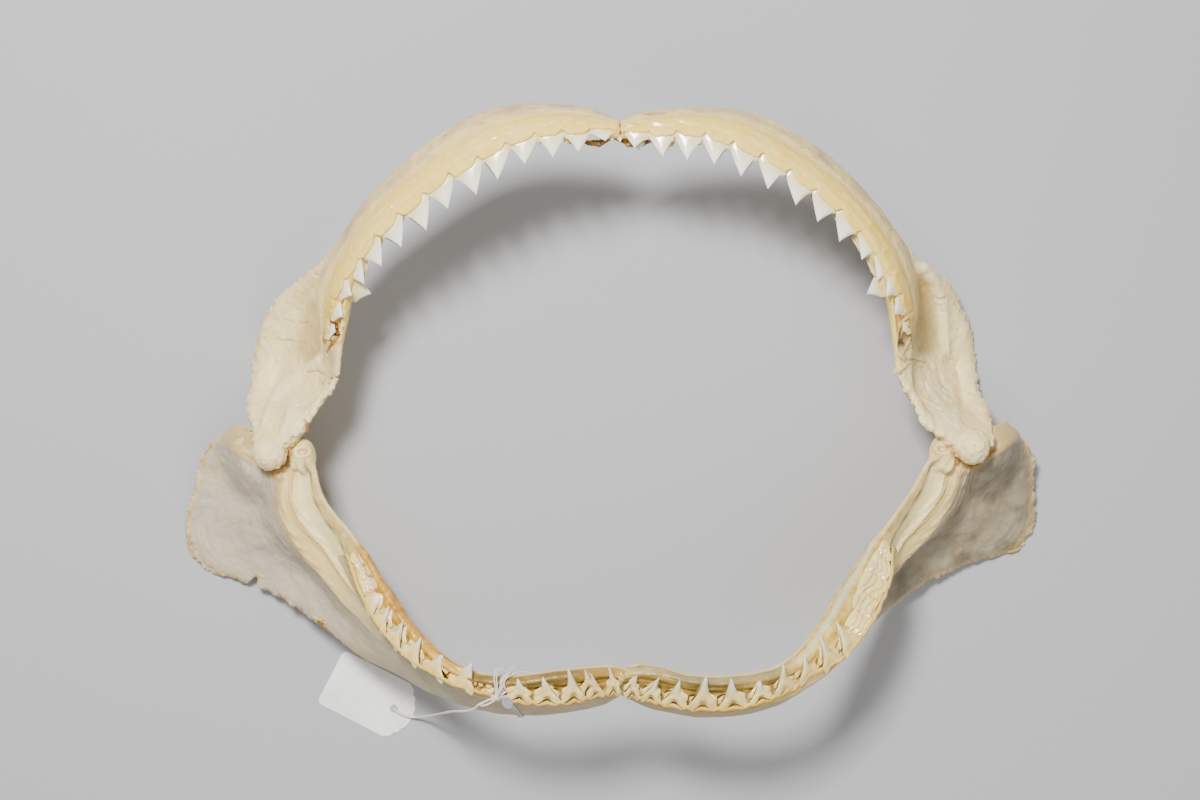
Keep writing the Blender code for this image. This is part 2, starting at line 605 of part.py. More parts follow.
# The tag's string goes once round the lower right half, where a tooth is missing, and is knotted.
tag(CARD_FINISH)
TIED = HALVES["lower_right"]
_, _, _, _, out_of_jaw = TIED.axes(STRING_STATION)
knot_at = TIED.top(STRING_STATION, KNOT_AT) + out_of_jaw * (STRING_LIFT + 2.0)
loop = as_mesh(tube("loop", taut_loop(TIED, STRING_STATION, STRING_LIFT), STRING_RADIUS, MODEL,
                    STRING_FINISH, cyclic=True))
loop.name = "string_loop"
combine(loop, cutter("knot", ellipsoid(knot_at, KNOT_RADII, 0, 0, 8)), "UNION")
for tail in TAILS:
    path = [knot_at, *(knot_at + np.array(p) for p in tail)]
    strand = as_mesh(tube("tail", path, STRING_RADIUS, GUIDES, STRING_FINISH))
    strand.hide_render = True
    strand.display_type = "WIRE"
    combine(loop, strand, "UNION")
route = [*(knot_at + np.array(p) for p in STRING_START), *STRING_ROUTE]
tube("tag_string", route, STRING_RADIUS, MODEL, STRING_FINISH)
_, _, _, _, out_of_jaw = TIED.axes(SEAL_STATION)
seal_at = TIED.top(SEAL_STATION, SEAL_AT) + out_of_jaw * SEAL_LIFT
add_object("tag_seal", ellipsoid(seal_at, SEAL_RADII, 0, 0.4, 10, out_of_jaw), MODEL, SEAL_FINISH)
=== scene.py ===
"""The dried jaw of a requiem shark, laid on its back rim with its mouth wide open, and its card tag."""
import math

import bpy
import numpy as np
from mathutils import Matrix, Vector
from mathutils.bvhtree import BVHTree
from mathutils.kdtree import KDTree


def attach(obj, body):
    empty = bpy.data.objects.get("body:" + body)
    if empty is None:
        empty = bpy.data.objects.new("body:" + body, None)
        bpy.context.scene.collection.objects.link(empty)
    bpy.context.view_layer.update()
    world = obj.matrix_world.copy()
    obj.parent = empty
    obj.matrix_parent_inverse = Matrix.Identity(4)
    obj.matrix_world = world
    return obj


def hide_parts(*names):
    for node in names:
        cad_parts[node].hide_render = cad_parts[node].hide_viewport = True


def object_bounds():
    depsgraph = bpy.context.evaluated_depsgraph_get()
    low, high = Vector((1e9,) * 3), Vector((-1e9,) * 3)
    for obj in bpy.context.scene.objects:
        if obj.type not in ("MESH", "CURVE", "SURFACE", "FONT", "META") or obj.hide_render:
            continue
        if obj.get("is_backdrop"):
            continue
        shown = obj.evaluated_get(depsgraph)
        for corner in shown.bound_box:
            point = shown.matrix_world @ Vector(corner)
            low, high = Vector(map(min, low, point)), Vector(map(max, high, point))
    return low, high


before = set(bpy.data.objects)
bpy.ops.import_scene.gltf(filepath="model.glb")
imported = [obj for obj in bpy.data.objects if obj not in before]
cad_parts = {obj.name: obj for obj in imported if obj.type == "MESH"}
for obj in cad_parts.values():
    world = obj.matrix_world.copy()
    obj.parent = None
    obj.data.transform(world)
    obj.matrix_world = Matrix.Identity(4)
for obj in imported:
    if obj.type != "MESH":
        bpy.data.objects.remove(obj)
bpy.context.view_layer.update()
bpy.ops.object.select_all(action="DESELECT")

# ---- Upper cartilages -----------------------------------------------------------------------
# Each half of the upper jaw is one cartilage: a thick rounded bar that carries the teeth, and
# behind it a thin plate that ends in the ball of the jaw joint. It has dried cream and yellow.
# The bar and the plate are rolled up from grids, fused with the ball, and then worked over finely.
MM = 0.001
FINE = 0.75  # mm between the points of a finished cartilage

# Stations from the symphysis to the joint: a point of the outer margin, then of the toothed one.
UPPER_RIGHT = [
    ((4.8, 144, 82), (4.8, 136, 93)),
    ((-10, 150, 80), (-8, 137.5, 94)),
    ((-32.5, 153, 79), (-29, 139.5, 95)),
    ((-57.5, 151.5, 77), (-50, 134, 95)),
    ((-82.5, 140.5, 74), (-71, 124, 93)),
    ((-105, 123, 70), (-92.5, 109.5, 90)),
    ((-125.5, 103.5, 63), (-112, 93, 86)),
    ((-141, 83.5, 53), (-126, 76, 81)),
    ((-154.5, 73, 38), (-133, 60, 76)),
    ((-171.5, 62.5, 20), (-135.5, 45, 70)),
    ((-185, 47, 6), (-137, 31, 64)),
    ((-190, 28, -1.2), (-139.5, 15.5, 60)),
    ((-191.5, 10, 9), (-147.5, 4.5, 60)),
    ((-190, -1.5, 27), (-151.5, -3, 62)),
    ((-184, -10, 42), (-160, -13.5, 60)),
    ((-182, -18.5, 50), (-165.5, -20, 56)),
]
UPPER_LEFT = [
    ((5.2, 144, 82), (5.2, 136, 93)),
    ((20, 149.5, 80), (17, 136.5, 94)),
    ((42.5, 151, 79), (39, 139.5, 95)),
    ((67.5, 149.5, 77), (60, 134.5, 95)),
    ((90.5, 140.5, 74), (81, 125.5, 93)),
    ((112.5, 126, 70), (100.5, 112, 90)),
    ((132.5, 107.5, 63), (120, 96, 86)),
    ((149, 88, 53), (134, 77.5, 81)),
    ((162, 75.5, 38), (141.5, 61, 76)),
    ((179, 66.5, 20), (144.5, 45.5, 70)),
    ((190.5, 49, 6), (145, 31, 64)),
    ((196, 29.5, -1.2), (148.5, 15.5, 60)),
    ((196.5, 11, 9), (155, 4.5, 60)),
    ((198.5, 0.5, 27), (160, -6, 62)),
    ((198, -10, 42), (170, -14, 60)),
    ((196.5, -18.5, 48), (175.5, -21, 56)),
]
BALL_RIGHT, BALL_LEFT, BALL_RADIUS = (-174, -21, 54), (185.5, -18.5, 54), 9.2
NOISE_CELLS = np.random.default_rng(11).uniform(-1, 1, (48, 48, 48))


def rise(x, low, high):
    """0 below low, 1 above high, and a smooth climb between."""
    f = np.clip((x - low) / (high - low), 0, 1)
    return f * f * (3 - 2 * f)


def bell(x, centre, width):
    """1 at the centre, and about a third at width from it."""
    return np.exp(-(((x - centre) / width) ** 2))


def unit(v):
    return v / np.linalg.norm(v, axis=-1, keepdims=True)


def step_lengths(points):
    return np.linalg.norm(np.diff(points, axis=0), axis=1)


def around(angle):
    """The share across a section, and the side of it, at an angle round it."""
    return (1 - np.cos(angle)) / 2, np.sin(angle)


def top_side(u):
    """The side value of the top of a section at that share across it."""
    return 2 * np.sqrt(np.maximum(u * (1 - u), 0))


def spline(points, s):
    """Catmull-Rom curve through points at s = 0, 1, 2 and so on."""
    points, s = np.asarray(points, float), np.asarray(s, float)
    last = len(points) - 1
    i = np.clip(s.astype(int), 0, last - 1)
    f = (s - i)[..., None]
    p0, p1, p2, p3 = (points[np.clip(i + k, 0, last)] for k in (-1, 0, 1, 2))
    return 0.5 * (2 * p1 + (p2 - p0) * f + (2 * p0 - 5 * p1 + 4 * p2 - p3) * f**2
                  + (3 * p1 - p0 - 3 * p2 + p3) * f**3)


def grain(p, size, layers=1):
    """Lumpy noise from -1 to 1 at points p, with lumps about size across; size may differ by axis."""
    total, weight = 0, 1
    for layer in range(layers):
        q = p / (np.asarray(size) / 2**layer) + 17.3 * layer + 500
        cell = np.floor(q).astype(int)
        f = q - cell
        f = f * f * (3 - 2 * f)
        for corner in np.ndindex(2, 2, 2):
            c = np.array(corner)
            i, j, k = ((cell + c) % len(NOISE_CELLS)).T
            total = total + weight * np.prod(np.where(c, f, 1 - f), axis=1) * NOISE_CELLS[i, j, k]
        weight *= 0.55
    return total


class Half:
    """One cartilage of the jaw: its two margins, and which way its skin side faces."""

    def __init__(self, stations, turn):
        self.outer, self.inner = (np.array(side, float) for side in zip(*stations))
        self.turn, self.last = turn, len(stations) - 1

    def axes(self, s):
        """Outer point, inner point, direction along the jaw, across it, and out of its skin side."""
        s = np.asarray(s, float)
        a, b = spline(self.outer, s), spline(self.inner, s)
        low, high = np.maximum(s - 0.3, 0), np.minimum(s + 0.3, self.last)
        along = unit(spline(self.outer, high) + spline(self.inner, high)
                     - spline(self.outer, low) - spline(self.inner, low))
        ahead = np.sign(along[..., :1]) * np.array([1.0, 0, 0])
        along = unit(along + (ahead - along) * (1 - rise(s, 0, 1))[..., None])
        across = unit(b - a)
        return a, b, along, across, unit(np.cross(along, across)) * self.turn

    def at(self, s, u, lift):
        """The point at share u of the way across the section, that far out of its skin side."""
        a, b, _, _, out = self.axes(s)
        return a + (b - a) * np.asarray(u)[..., None] + out * np.asarray(lift)[..., None]


def points_of(piece):
    """The mesh's points in mm."""
    flat = np.empty(len(piece.data.vertices) * 3, np.float32)
    piece.data.vertices.foreach_get("co", flat)
    return flat.reshape(-1, 3).astype(float) / MM


def move_points(piece, points):
    piece.data.vertices.foreach_set("co", (points * MM).astype(np.float32).ravel())
    piece.data.update()


def normals_of(piece):
    flat = np.empty(len(piece.data.vertices) * 3, np.float32)
    piece.data.vertices.foreach_get("normal", flat)
    return flat.reshape(-1, 3).astype(float)


def pushed(piece, amount):
    """Moves each point out along its normal by amount(points) in mm, and returns the points."""
    p = points_of(piece)
    p = p + normals_of(piece) * amount(p)[:, None]
    move_points(piece, p)
    return p


def rolled(name, columns, rows, place):
    """A grid primitive whose points go to place(x, y) in mm, for x and y from 0 to 1. Its seam is
    welded, its ends are closed, and it is turned right side out."""
    bpy.ops.mesh.primitive_grid_add(x_subdivisions=columns, y_subdivisions=rows, size=1)
    piece = bpy.context.object
    piece.name = piece.data.name = name
    flat = points_of(piece) * MM + 0.5
    move_points(piece, place(flat[:, 0], flat[:, 1]))
    bpy.ops.object.mode_set(mode="EDIT")
    bpy.ops.mesh.select_all(action="SELECT")
    bpy.ops.mesh.remove_doubles(threshold=5e-6)
    bpy.ops.mesh.select_all(action="DESELECT")
    bpy.ops.mesh.select_non_manifold()
    bpy.ops.mesh.fill_holes(sides=0)
    bpy.ops.mesh.select_all(action="SELECT")
    bpy.ops.mesh.normals_make_consistent(inside=False)
    bpy.ops.object.mode_set(mode="OBJECT")
    piece.select_set(False)
    return piece


def loft(name, half, reach, shape, columns=160, rows=56):
    """A closed length of cartilage. shape(s, v, side) gives how far across the section a point is and
    how far out of it, where v runs 0 to 1 across and side is 1 on the skin side, -1 below."""
    def place(x, y):
        s = reach[0] + (reach[1] - reach[0]) * x
        return half.at(s, *shape(s, *around(2 * math.pi * y)))
    return rolled(name, columns, rows, place)


def lump(name, centre, radii, turned=0.0):
    """A ball stretched to three radii, in mm."""
    bpy.ops.mesh.primitive_uv_sphere_add(segments=40, ring_count=20, radius=1)
    piece = bpy.context.object
    piece.name = name
    p = points_of(piece) * MM * np.array(radii)
    c, s = math.cos(turned), math.sin(turned)
    move_points(piece, p @ np.array([[c, s, 0], [-s, c, 0], [0, 0, 1]]) + np.array(centre))
    piece.select_set(False)
    return piece


def joined(name, parts):
    bpy.ops.object.select_all(action="DESELECT")
    for part in parts:
        part.select_set(True)
    bpy.context.view_layer.objects.active = parts[0]
    bpy.ops.object.join()
    parts[0].name = parts[0].data.name = name
    parts[0].select_set(False)
    return parts[0]


def apply(piece, kind, **settings):
    """Adds a modifier with these settings and applies it."""
    modifier = piece.modifiers.new(kind.lower(), kind)
    for key, value in settings.items():
        setattr(modifier, key, value)
    bpy.context.view_layer.objects.active = piece
    bpy.ops.object.modifier_apply(modifier=modifier.name)


def tear_out(piece, centre, radii, turned):
    """Cuts the shape of a lump out of a piece."""
    torn = lump("torn_out", centre, radii, turned)
    apply(piece, "BOOLEAN", operation="DIFFERENCE", object=torn, solver="EXACT")
    bpy.data.objects.remove(torn)


def fused(name, parts, soften=4):
    """Joins overlapping parts into one even skin."""
    piece = joined(name, parts)
    apply(piece, "REMESH", mode="VOXEL", voxel_size=FINE * MM)
    apply(piece, "SMOOTH", factor=0.5, iterations=soften)
    return piece


def tree_of(places):
    """A tree for finding the nearest of these places."""
    tree = KDTree(len(places))
    for index, place in enumerate(places.tolist()):
        tree.insert(place, index)
    tree.balance()
    return tree


def surface_of(piece):
    return BVHTree.FromObject(piece, bpy.context.evaluated_depsgraph_get())


def ways_on_jaw(piece, half, sheets):
    """For each point of a fused piece, its station, its share across and its side, read from the
    nearest points of the sheets (reach, shape) that it was made from."""
    marks = []
    for reach, shape in sheets:
        grid = np.meshgrid(np.linspace(*reach, 150), np.linspace(0, 2 * math.pi, 64, False))
        s, angle = (values.ravel() for values in grid)
        v, side = around(angle)
        u, lift = shape(s, v, side)
        marks.append(np.column_stack([half.at(s, u, lift), s, u, side]))
    marks = np.concatenate(marks)
    tree = tree_of(marks[:, :3])
    found = np.empty((len(piece.data.vertices), 3))
    for row, point in enumerate(points_of(piece).tolist()):
        near = tree.find_n(point, 3)
        weight = [1 / (d + 0.2) ** 2 for _, _, d in near]
        total = sum(weight)
        found[row] = sum(marks[index, 3:] * (w / total) for w, (_, index, _) in zip(weight, near))
    return found.T


def relaxed(piece, points, rounds):
    """The points after each has moved halfway to the middle of its neighbours, so many times."""
    ends = np.empty(len(piece.data.edges) * 2, np.int32)
    piece.data.edges.foreach_get("vertices", ends)
    ends = ends.reshape(-1, 2)
    both = np.concatenate([ends, ends[:, ::-1]])
    count = np.maximum(np.bincount(both[:, 0], minlength=len(points)), 1)
    for _ in range(rounds):
        middle = [np.bincount(both[:, 0], points[both[:, 1], axis], len(points)) / count
                  for axis in range(3)]
        points = (points + np.array(middle).T) / 2
    return points


def depth_in_folds(piece, rounds):
    """How far below its smoothed surface each point lies, in mm; negative on ridges."""
    points = points_of(piece)
    return np.sum((relaxed(piece, points, rounds) - points) * normals_of(piece), axis=1)


def from_line(points, line):
    """Distance in plan, in mm, from each point to a line through (x, y) places."""
    best = np.full(len(points), 1e9)
    line = np.asarray(line, float)
    for a, b in zip(line, line[1:]):
        t = np.clip((points[:, :2] - a) @ (b - a) / ((b - a) @ (b - a)), 0, 1)
        best = np.minimum(np.linalg.norm(points[:, :2] - a - t[:, None] * (b - a), axis=1), best)
    return best


def shade(red, green, blue):
    """A colour from its screen values, 0 to 255, as linear light."""
    c = np.array([red, green, blue]) / 255
    return np.where(c < 0.04045, c / 12.92, ((c + 0.055) / 1.055) ** 2.4)


def layered(below, *layers):
    """Lays colours over one another. Each layer is a colour, or one per point, and its share."""
    for colour, share in layers:
        below = below + (colour - below) * np.clip(share, 0, 1)[:, None]
    return below


def store(piece, name, values, kind="FLOAT", field="value"):
    """Stores a value for each point, for the material to read."""
    made = piece.data.attributes.new(name, kind, "POINT")
    made.data.foreach_set(field, values.astype(np.float32).ravel())


def paint(piece, colours, gloss, lie):
    """Stores the colour of each point, its gloss, and its place along and across the jaw in mm."""
    tint = np.column_stack([np.clip(colours, 0, 1), np.ones(len(colours))])
    store(piece, "Tint", tint, "FLOAT_COLOR", "color")
    store(piece, "Gloss", gloss)
    store(piece, "Lie", lie, "FLOAT_VECTOR", "vector")


def node(tree, kind, **settings):
    made = tree.nodes.new(kind)
    for key, value in settings.items():
        if key in made.inputs:
            made.inputs[key].default_value = value
        else:
            setattr(made, key, value)
    return made


def link(tree, source, target):
    tree.links.new(source, target)


def noise_node(tree, vector, scale, detail=4, roughness=0.6):
    made = node(tree, "ShaderNodeTexNoise", Scale=scale, Detail=detail, Roughness=roughness)
    link(tree, vector, made.inputs["Vector"])
    return made.outputs["Fac"]


def ramp_node(tree, value, low, high, to_low=0.0, to_high=1.0):
    made = node(tree, "ShaderNodeMapRange")
    for name, number in (("From Min", low), ("From Max", high), ("To Min", to_low), ("To Max", to_high)):
        made.inputs[name].default_value = number
    link(tree, value, made.inputs["Value"])
    return made.outputs["Result"]


def mix_node(tree, share, first, second, blend="MIX"):
    """Mixes two colours; each may be a socket or a colour value, and share a socket or a number."""
    made = node(tree, "ShaderNodeMix", data_type="RGBA", blend_type=blend)
    for socket, value in ((made.inputs[0], share), (made.inputs[6], first), (made.inputs[7], second)):
        if hasattr(value, "is_output"):
            link(tree, value, socket)
        else:
            socket.default_value = (*value, 1) if hasattr(value, "__len__") else value
    return made.outputs[2]


def stretch_node(tree, vector, scale):
    made = node(tree, "ShaderNodeMapping")
    made.inputs["Scale"].default_value = scale
    link(tree, vector, made.inputs["Vector"])
    return made.outputs["Vector"]


def bump_node(tree, heights, distance, strength=1.0):
    """A bump from several heights, each with its share."""
    total = None
    for height, share in heights:
        scaled = node(tree, "ShaderNodeMath", operation="MULTIPLY")
        scaled.inputs[1].default_value = share
        link(tree, height, scaled.inputs[0])
        if total is None:
            total = scaled.outputs[0]
            continue
        added = node(tree, "ShaderNodeMath", operation="ADD")
        link(tree, total, added.inputs[0])
        link(tree, scaled.outputs[0], added.inputs[1])
        total = added.outputs[0]
    made = node(tree, "ShaderNodeBump", Strength=strength, Distance=distance)
    link(tree, total, made.inputs["Height"])
    return made.outputs["Normal"]


def new_material(name, **values):
    """A material with numbers set straight on its shader: the material, its node tree, and the
    output that gives places on the piece in metres."""
    made = bpy.data.materials.new(name)
    made.use_nodes = True
    tree = made.node_tree
    for key, value in values.items():
        tree.nodes["Principled BSDF"].inputs[key.replace("_", " ")].default_value = value
    return made, tree, node(tree, "ShaderNodeTexCoord").outputs["Object"]


def wire(tree, **sources):
    """Links outputs to the shader's inputs."""
    for key, source in sources.items():
        link(tree, source, tree.nodes["Principled BSDF"].inputs[key.replace("_", " ")])


def stored(tree, name, output="Fac"):
    """The output that gives what store() kept under that name."""
    return node(tree, "ShaderNodeAttribute", attribute_name=name).outputs[output]


def less_gloss(tree, rough):
    """A roughness, less the stored gloss."""
    made = node(tree, "ShaderNodeMath", operation="SUBTRACT", use_clamp=True)
    link(tree, rough, made.inputs[0])
    link(tree, stored(tree, "Gloss"), made.inputs[1])
    return made.outputs[0]


def cartilage_material():
    """Dried cartilage: painted tint, mottled, streaked along the jaw, pitted and faintly waxy."""
    made, tree, place = new_material("dried_cartilage", Subsurface_Weight=0.12, Subsurface_Scale=0.004,
                                     Subsurface_Radius=(1.0, 0.6, 0.35), Specular_IOR_Level=0.45)
    streaks = noise_node(tree, stretch_node(tree, stored(tree, "Lie", "Vector"), (0.09, 0.9, 0.9)), 1.0, 5)
    mottle = noise_node(tree, place, 110, 6, 0.7)
    specks = noise_node(tree, place, 900, 2)
    pores = noise_node(tree, place, 2600, 2)
    colour = stored(tree, "Tint", "Color")
    for noise, low, high, most, darker in ((mottle, 0.35, 0.75, 0.55, (0.82, 0.76, 0.62)),
                                           (streaks, 0.45, 0.75, 0.35, (0.80, 0.72, 0.58)),
                                           (specks, 0.66, 0.74, 0.45, (0.45, 0.33, 0.20))):
        colour = mix_node(tree, ramp_node(tree, noise, low, high, 0, most), colour, darker, "MULTIPLY")
    bumps = [(streaks, 0.35), (mottle, 0.7), (specks, 0.25), (pores, 0.12)]
    wire(tree, Base_Color=colour, Roughness=less_gloss(tree, ramp_node(tree, mottle, 0.3, 0.7, 0.44, 0.62)),
         Normal=bump_node(tree, bumps, 0.0007, 0.55))
    return made


HALVES = {"upper_right": Half(UPPER_RIGHT, 1), "upper_left": Half(UPPER_LEFT, -1)}
CARTILAGE = cartilage_material()
CREAM, WHITE_BONE, GREY_BONE = shade(247, 220, 148), shade(254, 236, 184), shade(190, 167, 130)
GUM_YELLOW, AMBER, BROWN = shade(251, 214, 100), shade(178, 124, 48), shade(96, 60, 26)
TAN, OLIVE_TAN = shade(208, 182, 114), shade(172, 150, 82)
EDGE_BLUNTNESS = 0.55
PLATE_START, BAR_END = 6.5, 10.15  # stations where the plate begins, and where the bar dies out on it


def fold(s):
    """How far across the section the toothed bar's outer side lies."""
    return np.interp(s, [6.9, 8, 9, 10, 11.5], [0.0, 0.3, 0.63, 0.8, 0.97])


def bar_limit(s):
    """How far across its inner side lies; the rear teeth lie on the plate beyond it."""
    return np.interp(s, [0, 0.9, 1.7, 6.8, 8, 9, BAR_END], [0.86, 0.9, 1.0, 1.0, 0.95, 0.91, 0.88])


def thick(side, crown, belly):
    """How far out of the section its surface lies, with a blunt edge between crown and belly."""
    return np.where(side > 0, crown, -belly) * np.abs(side) ** EDGE_BLUNTNESS


def bar(s, v, side):
    """The bar that carries the teeth: smooth, with a low ridge, then the swollen gum."""
    first, last = fold(s), bar_limit(s)
    fade = 1 - 0.75 * rise(s, 9.0, BAR_END)
    back = rise(s, 6.6, 7.6)
    crown = 2.8 + 0.4 * bell(v, 0.36, 0.12) - 0.15 * bell(v, 0.5, 0.06) + 0.7 * rise(v, 0.52, 0.66)
    belly = 3 + (1.5 + 3 * rise(s, 0.8, 2)) * rise(v, 0.25, 0.8) + 4.5 * back * (1 - rise(v, 0.2, 0.9))
    return first + (last - first) * v, thick(side, crown, belly) * fade


def plate(s, v, side):
    """The plate behind the bar: a hollow with a raised outer margin, and a neck towards the joint."""
    under_bar = 1 - rise(s, 8.9, 10.2) * rise(v, fold(s) - 0.13, fold(s))
    hollow = rise(s, 6.6, 8.6) * (1 - rise(s, 11.5, 13.5)) * under_bar * rise(v, 0.05, 0.3)
    margin = rise(s, 8.2, 9.2) * (1 - rise(s, 13, 14))
    knob = 4.5 * rise(s, 13.2, 15)
    crown = 1.7 + margin * (1.7 * bell(v, 0.1, 0.08) - 1.5 * bell(v, 0.24, 0.045)) + knob
    belly = 2.6 + 1.8 * rise(v, 0.55, 1) + knob
    return v, -7 * hollow * np.abs(side) + thick(side, crown, belly)


def finish(piece, material, stands_for=None, sharp=None):
    """Gives a piece its material, shades it smooth, hangs it on the root body and hides the part it stands
    for. sharp is the angle in degrees from which its edges stay sharp."""
    piece.data.materials.append(material)
    piece.data.shade_smooth()
    if sharp:
        piece.data.set_sharp_from_angle(angle=math.radians(sharp))
    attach(piece, "root")
    if stands_for:
        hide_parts(stands_for)
    return piece


# Each plate's own marks in plan, in mm: swellings, hollows and cracks as (line, half width, height),
# a stain as (line, half width), a tear cut in from the inner margin as (centre, radii, angle), and
# the open pocket at the end of the toothed bar in the same way.
UPPER_MARKS = {
    "upper_right": {
        "ridge": [([(-151.5, 26), (-161, 20), (-169.5, 14), (-176, 6.5), (-177, -5)], 3.2, 3.0),
                  ([(-163, 4), (-160, -6)], 7, 2.0), ([(-166, 6), (-164, -3), (-167, -12)], 2.2, 0.9)],
        "hollow": [([(-155, 50), (-158, 32)], 8, -3.0), ([(-146.5, 34), (-145, 24)], 3.6, -0.9)],
        "crack": [([(-172, 48), (-166, 46.5), (-160, 46)], 0.5, -0.5),
                  ([(-176, 37.5), (-168, 37), (-162, 35)], 0.5, -0.5),
                  ([(-147, 18.4), (-152, 20.6), (-157, 20)], 0.6, -0.7),
                  ([(-184, 38), (-176, 41)], 0.4, -0.4)],
        "stain_and_crease_shade": ([(-143.5, 31), (-141, 24), (-142, 17)], 4.5),
        "tear": ((-141.5, 16.6, 58), (6.5, 0.75, 12), 0.32),
        "pocket": ((-139.3, 41.5), (2.6, 5.6), 0.35)},
    "upper_left": {
        "ridge": [([(163, 74), (170, 66), (175, 57), (177.7, 44.5), (178.2, 31.5)], 3.2, 2.9),
                  ([(168, 10), (172, -4)], 8, 2.0), ([(181, 20), (180, 6), (178, -8)], 2.2, 0.9)],
        "hollow": [([(162.5, 62), (168, 36)], 8, -2.8), ([(184, 24), (185.6, 14), (185, 4)], 1.8, -1.1)],
        "crack": [([(150, 24), (157, 27), (166, 25)], 0.5, -0.7), ([(152, 31), (158, 33)], 0.4, -0.5),
                  ([(172, 14), (178, 11), (180, 2)], 0.5, -0.5), ([(180, 60), (186, 52)], 0.4, -0.4)],
        "stain_and_crease_shade": ([(156, 62), (161, 34)], 8),
        "tear": ((146, 19.6, 56), (5.5, 1.0, 12), -0.4),
        "pocket": ((149.6, 38.8), (3.3, 8.4), -0.28)},
}
POCKET_FLOOR = 48  # mm above the floor; the pocket's marks stay above it

CARTILAGES = {}
for name, ball in (("upper_right", BALL_RIGHT), ("upper_left", BALL_LEFT)):
    half = HALVES[name]
    sheets = [((0, BAR_END), bar), ((PLATE_START, half.last), plate)]
    parts = [loft(f"{name}_{k}", half, reach, shape) for k, (reach, shape) in enumerate(sheets)]
    own = UPPER_MARKS[name]
    tear_out(parts[1], *own["tear"])
    piece = fused(name + "_cartilage", [*parts, lump(name + "_ball", ball, (BALL_RADIUS,) * 3)])
    s, u, side = ways_on_jaw(piece, half, sheets)
    p, n = points_of(piece), normals_of(piece)
    lie = np.column_stack([s * 20, u * 30, p[:, 2] * 0.3])
    on_skin = rise(side, -0.2, 0.2)
    on_bar = (1 - rise(s, 9.6, 10.4)) * rise(u - fold(s), -0.06, 0.02)
    on_plate = (1 - on_bar) * rise(s, 6.8, 7.6)
    edge = on_plate * (1 - rise(u, 0.0, 0.10)) + on_plate * rise(s, 10.5, 11.2) * rise(u, 0.93, 1.0)
    ridge, hollow, crack = (
        sum(height * bell(from_line(p, line), 0, width) for line, width, height in own[kind])
        for kind in ("ridge", "hollow", "crack"))
    middle, radii, turned = own["pocket"]
    cos, sin = math.cos(turned), math.sin(turned)
    off = (p[:, :2] - np.array(middle)) @ np.array([[cos, -sin], [sin, cos]])
    pocket = np.where(p[:, 2] > POCKET_FLOOR, np.hypot(off[:, 0] / radii[0], off[:, 1] / radii[1]), 9)
    ball_near = bell(np.linalg.norm(p - np.array(ball), axis=1), BALL_RADIUS, 2.5)
    lumps = (0.35 * grain(p, 14, 3) + 0.16 * grain(lie, (9, 2.2, 6), 3)
             + on_plate * 0.3 * grain(p, 3.2, 3) + edge * 1.0 * grain(p, 1.7, 2)
             + on_bar * 0.22 * grain(p, 4, 3)
             + on_plate * rise(s, 10.2, 11.4) * 0.18 * grain(p, 1.9, 2)
             + on_skin * on_plate * (ridge + hollow + crack)
             + on_skin * (0.7 * bell(pocket, 1.15, 0.2) - 2.4 * (1 - rise(pocket, 0.5, 1.0)))
             + ball_near * 0.35 * grain(p, 2.0, 2) - 0.8 * on_plate * rise(-grain(p + 40, 5.5), 0.62, 0.8))
    p = p + n * lumps[:, None]
    p[:, 2] = np.maximum(p[:, 2], 0)
    move_points(piece, p)
    deep, wide = depth_in_folds(piece, 6), depth_in_folds(piece, 60)
    blotch = grain(p, 11, 3)
    stain_line, stain_width = own["stain_and_crease_shade"]
    colours = layered(
        CREAM,
        (GREY_BONE, on_bar * (1 - rise(u, 0.32, 0.6)) * (0.5 + 0.5 * blotch)),
        (BROWN, 0.4 * on_bar * (1 - rise(u, 0.4, 0.6)) * rise(grain(p + 70, (4, 1.6, 2), 3), 0.6, 1.0)),
        (GUM_YELLOW, on_bar * rise(u - fold(s) * 0.3, 0.42, 0.7) * (0.75 + 0.25 * blotch)),
        (WHITE_BONE, on_plate * (0.6 + 0.3 * blotch)),
        # Tan in the plate's broad hollows and in its hollow marks is painted shade.
        (TAN, on_plate * (0.5 * rise(wide, 0.2, 1.4) + 0.85 * rise(-hollow, 0.4, 2.2))),
        (OLIVE_TAN, on_skin * 0.55 * bell(from_line(p, stain_line), 0, stain_width)),
        # White on the plate's swellings is a painted highlight.
        (WHITE_BONE, on_plate * 0.9 * rise(ridge, 0.5, 2.0)),
        (BROWN, on_skin * 0.5 * rise(-crack, 0.25, 0.6)),
        # Amber deepening in creases is painted shade.
        (AMBER, 0.65 * rise(deep, 0.15, 0.6) * (0.6 + 0.4 * on_plate)),
        (AMBER, edge * rise(grain(p + 90, 4, 2), 0.15, 0.7) * 0.7),
        (BROWN, on_skin * (1 - rise(pocket, 0.75, 1.15)) * (0.75 + 0.4 * grain(p + 20, 2.5, 2))),
        (TAN, on_skin * bell(pocket, 1.3, 0.25) * 0.6),
        # White on sharp ridges is a painted highlight.
        (WHITE_BONE, 0.6 * rise(-deep, 0.12, 0.5)))
    paint(piece, colours, 0.02 * on_bar + 0.05 * rise(blotch, 0, 0.5), lie)
    CARTILAGES[name] = finish(piece, CARTILAGE, name)

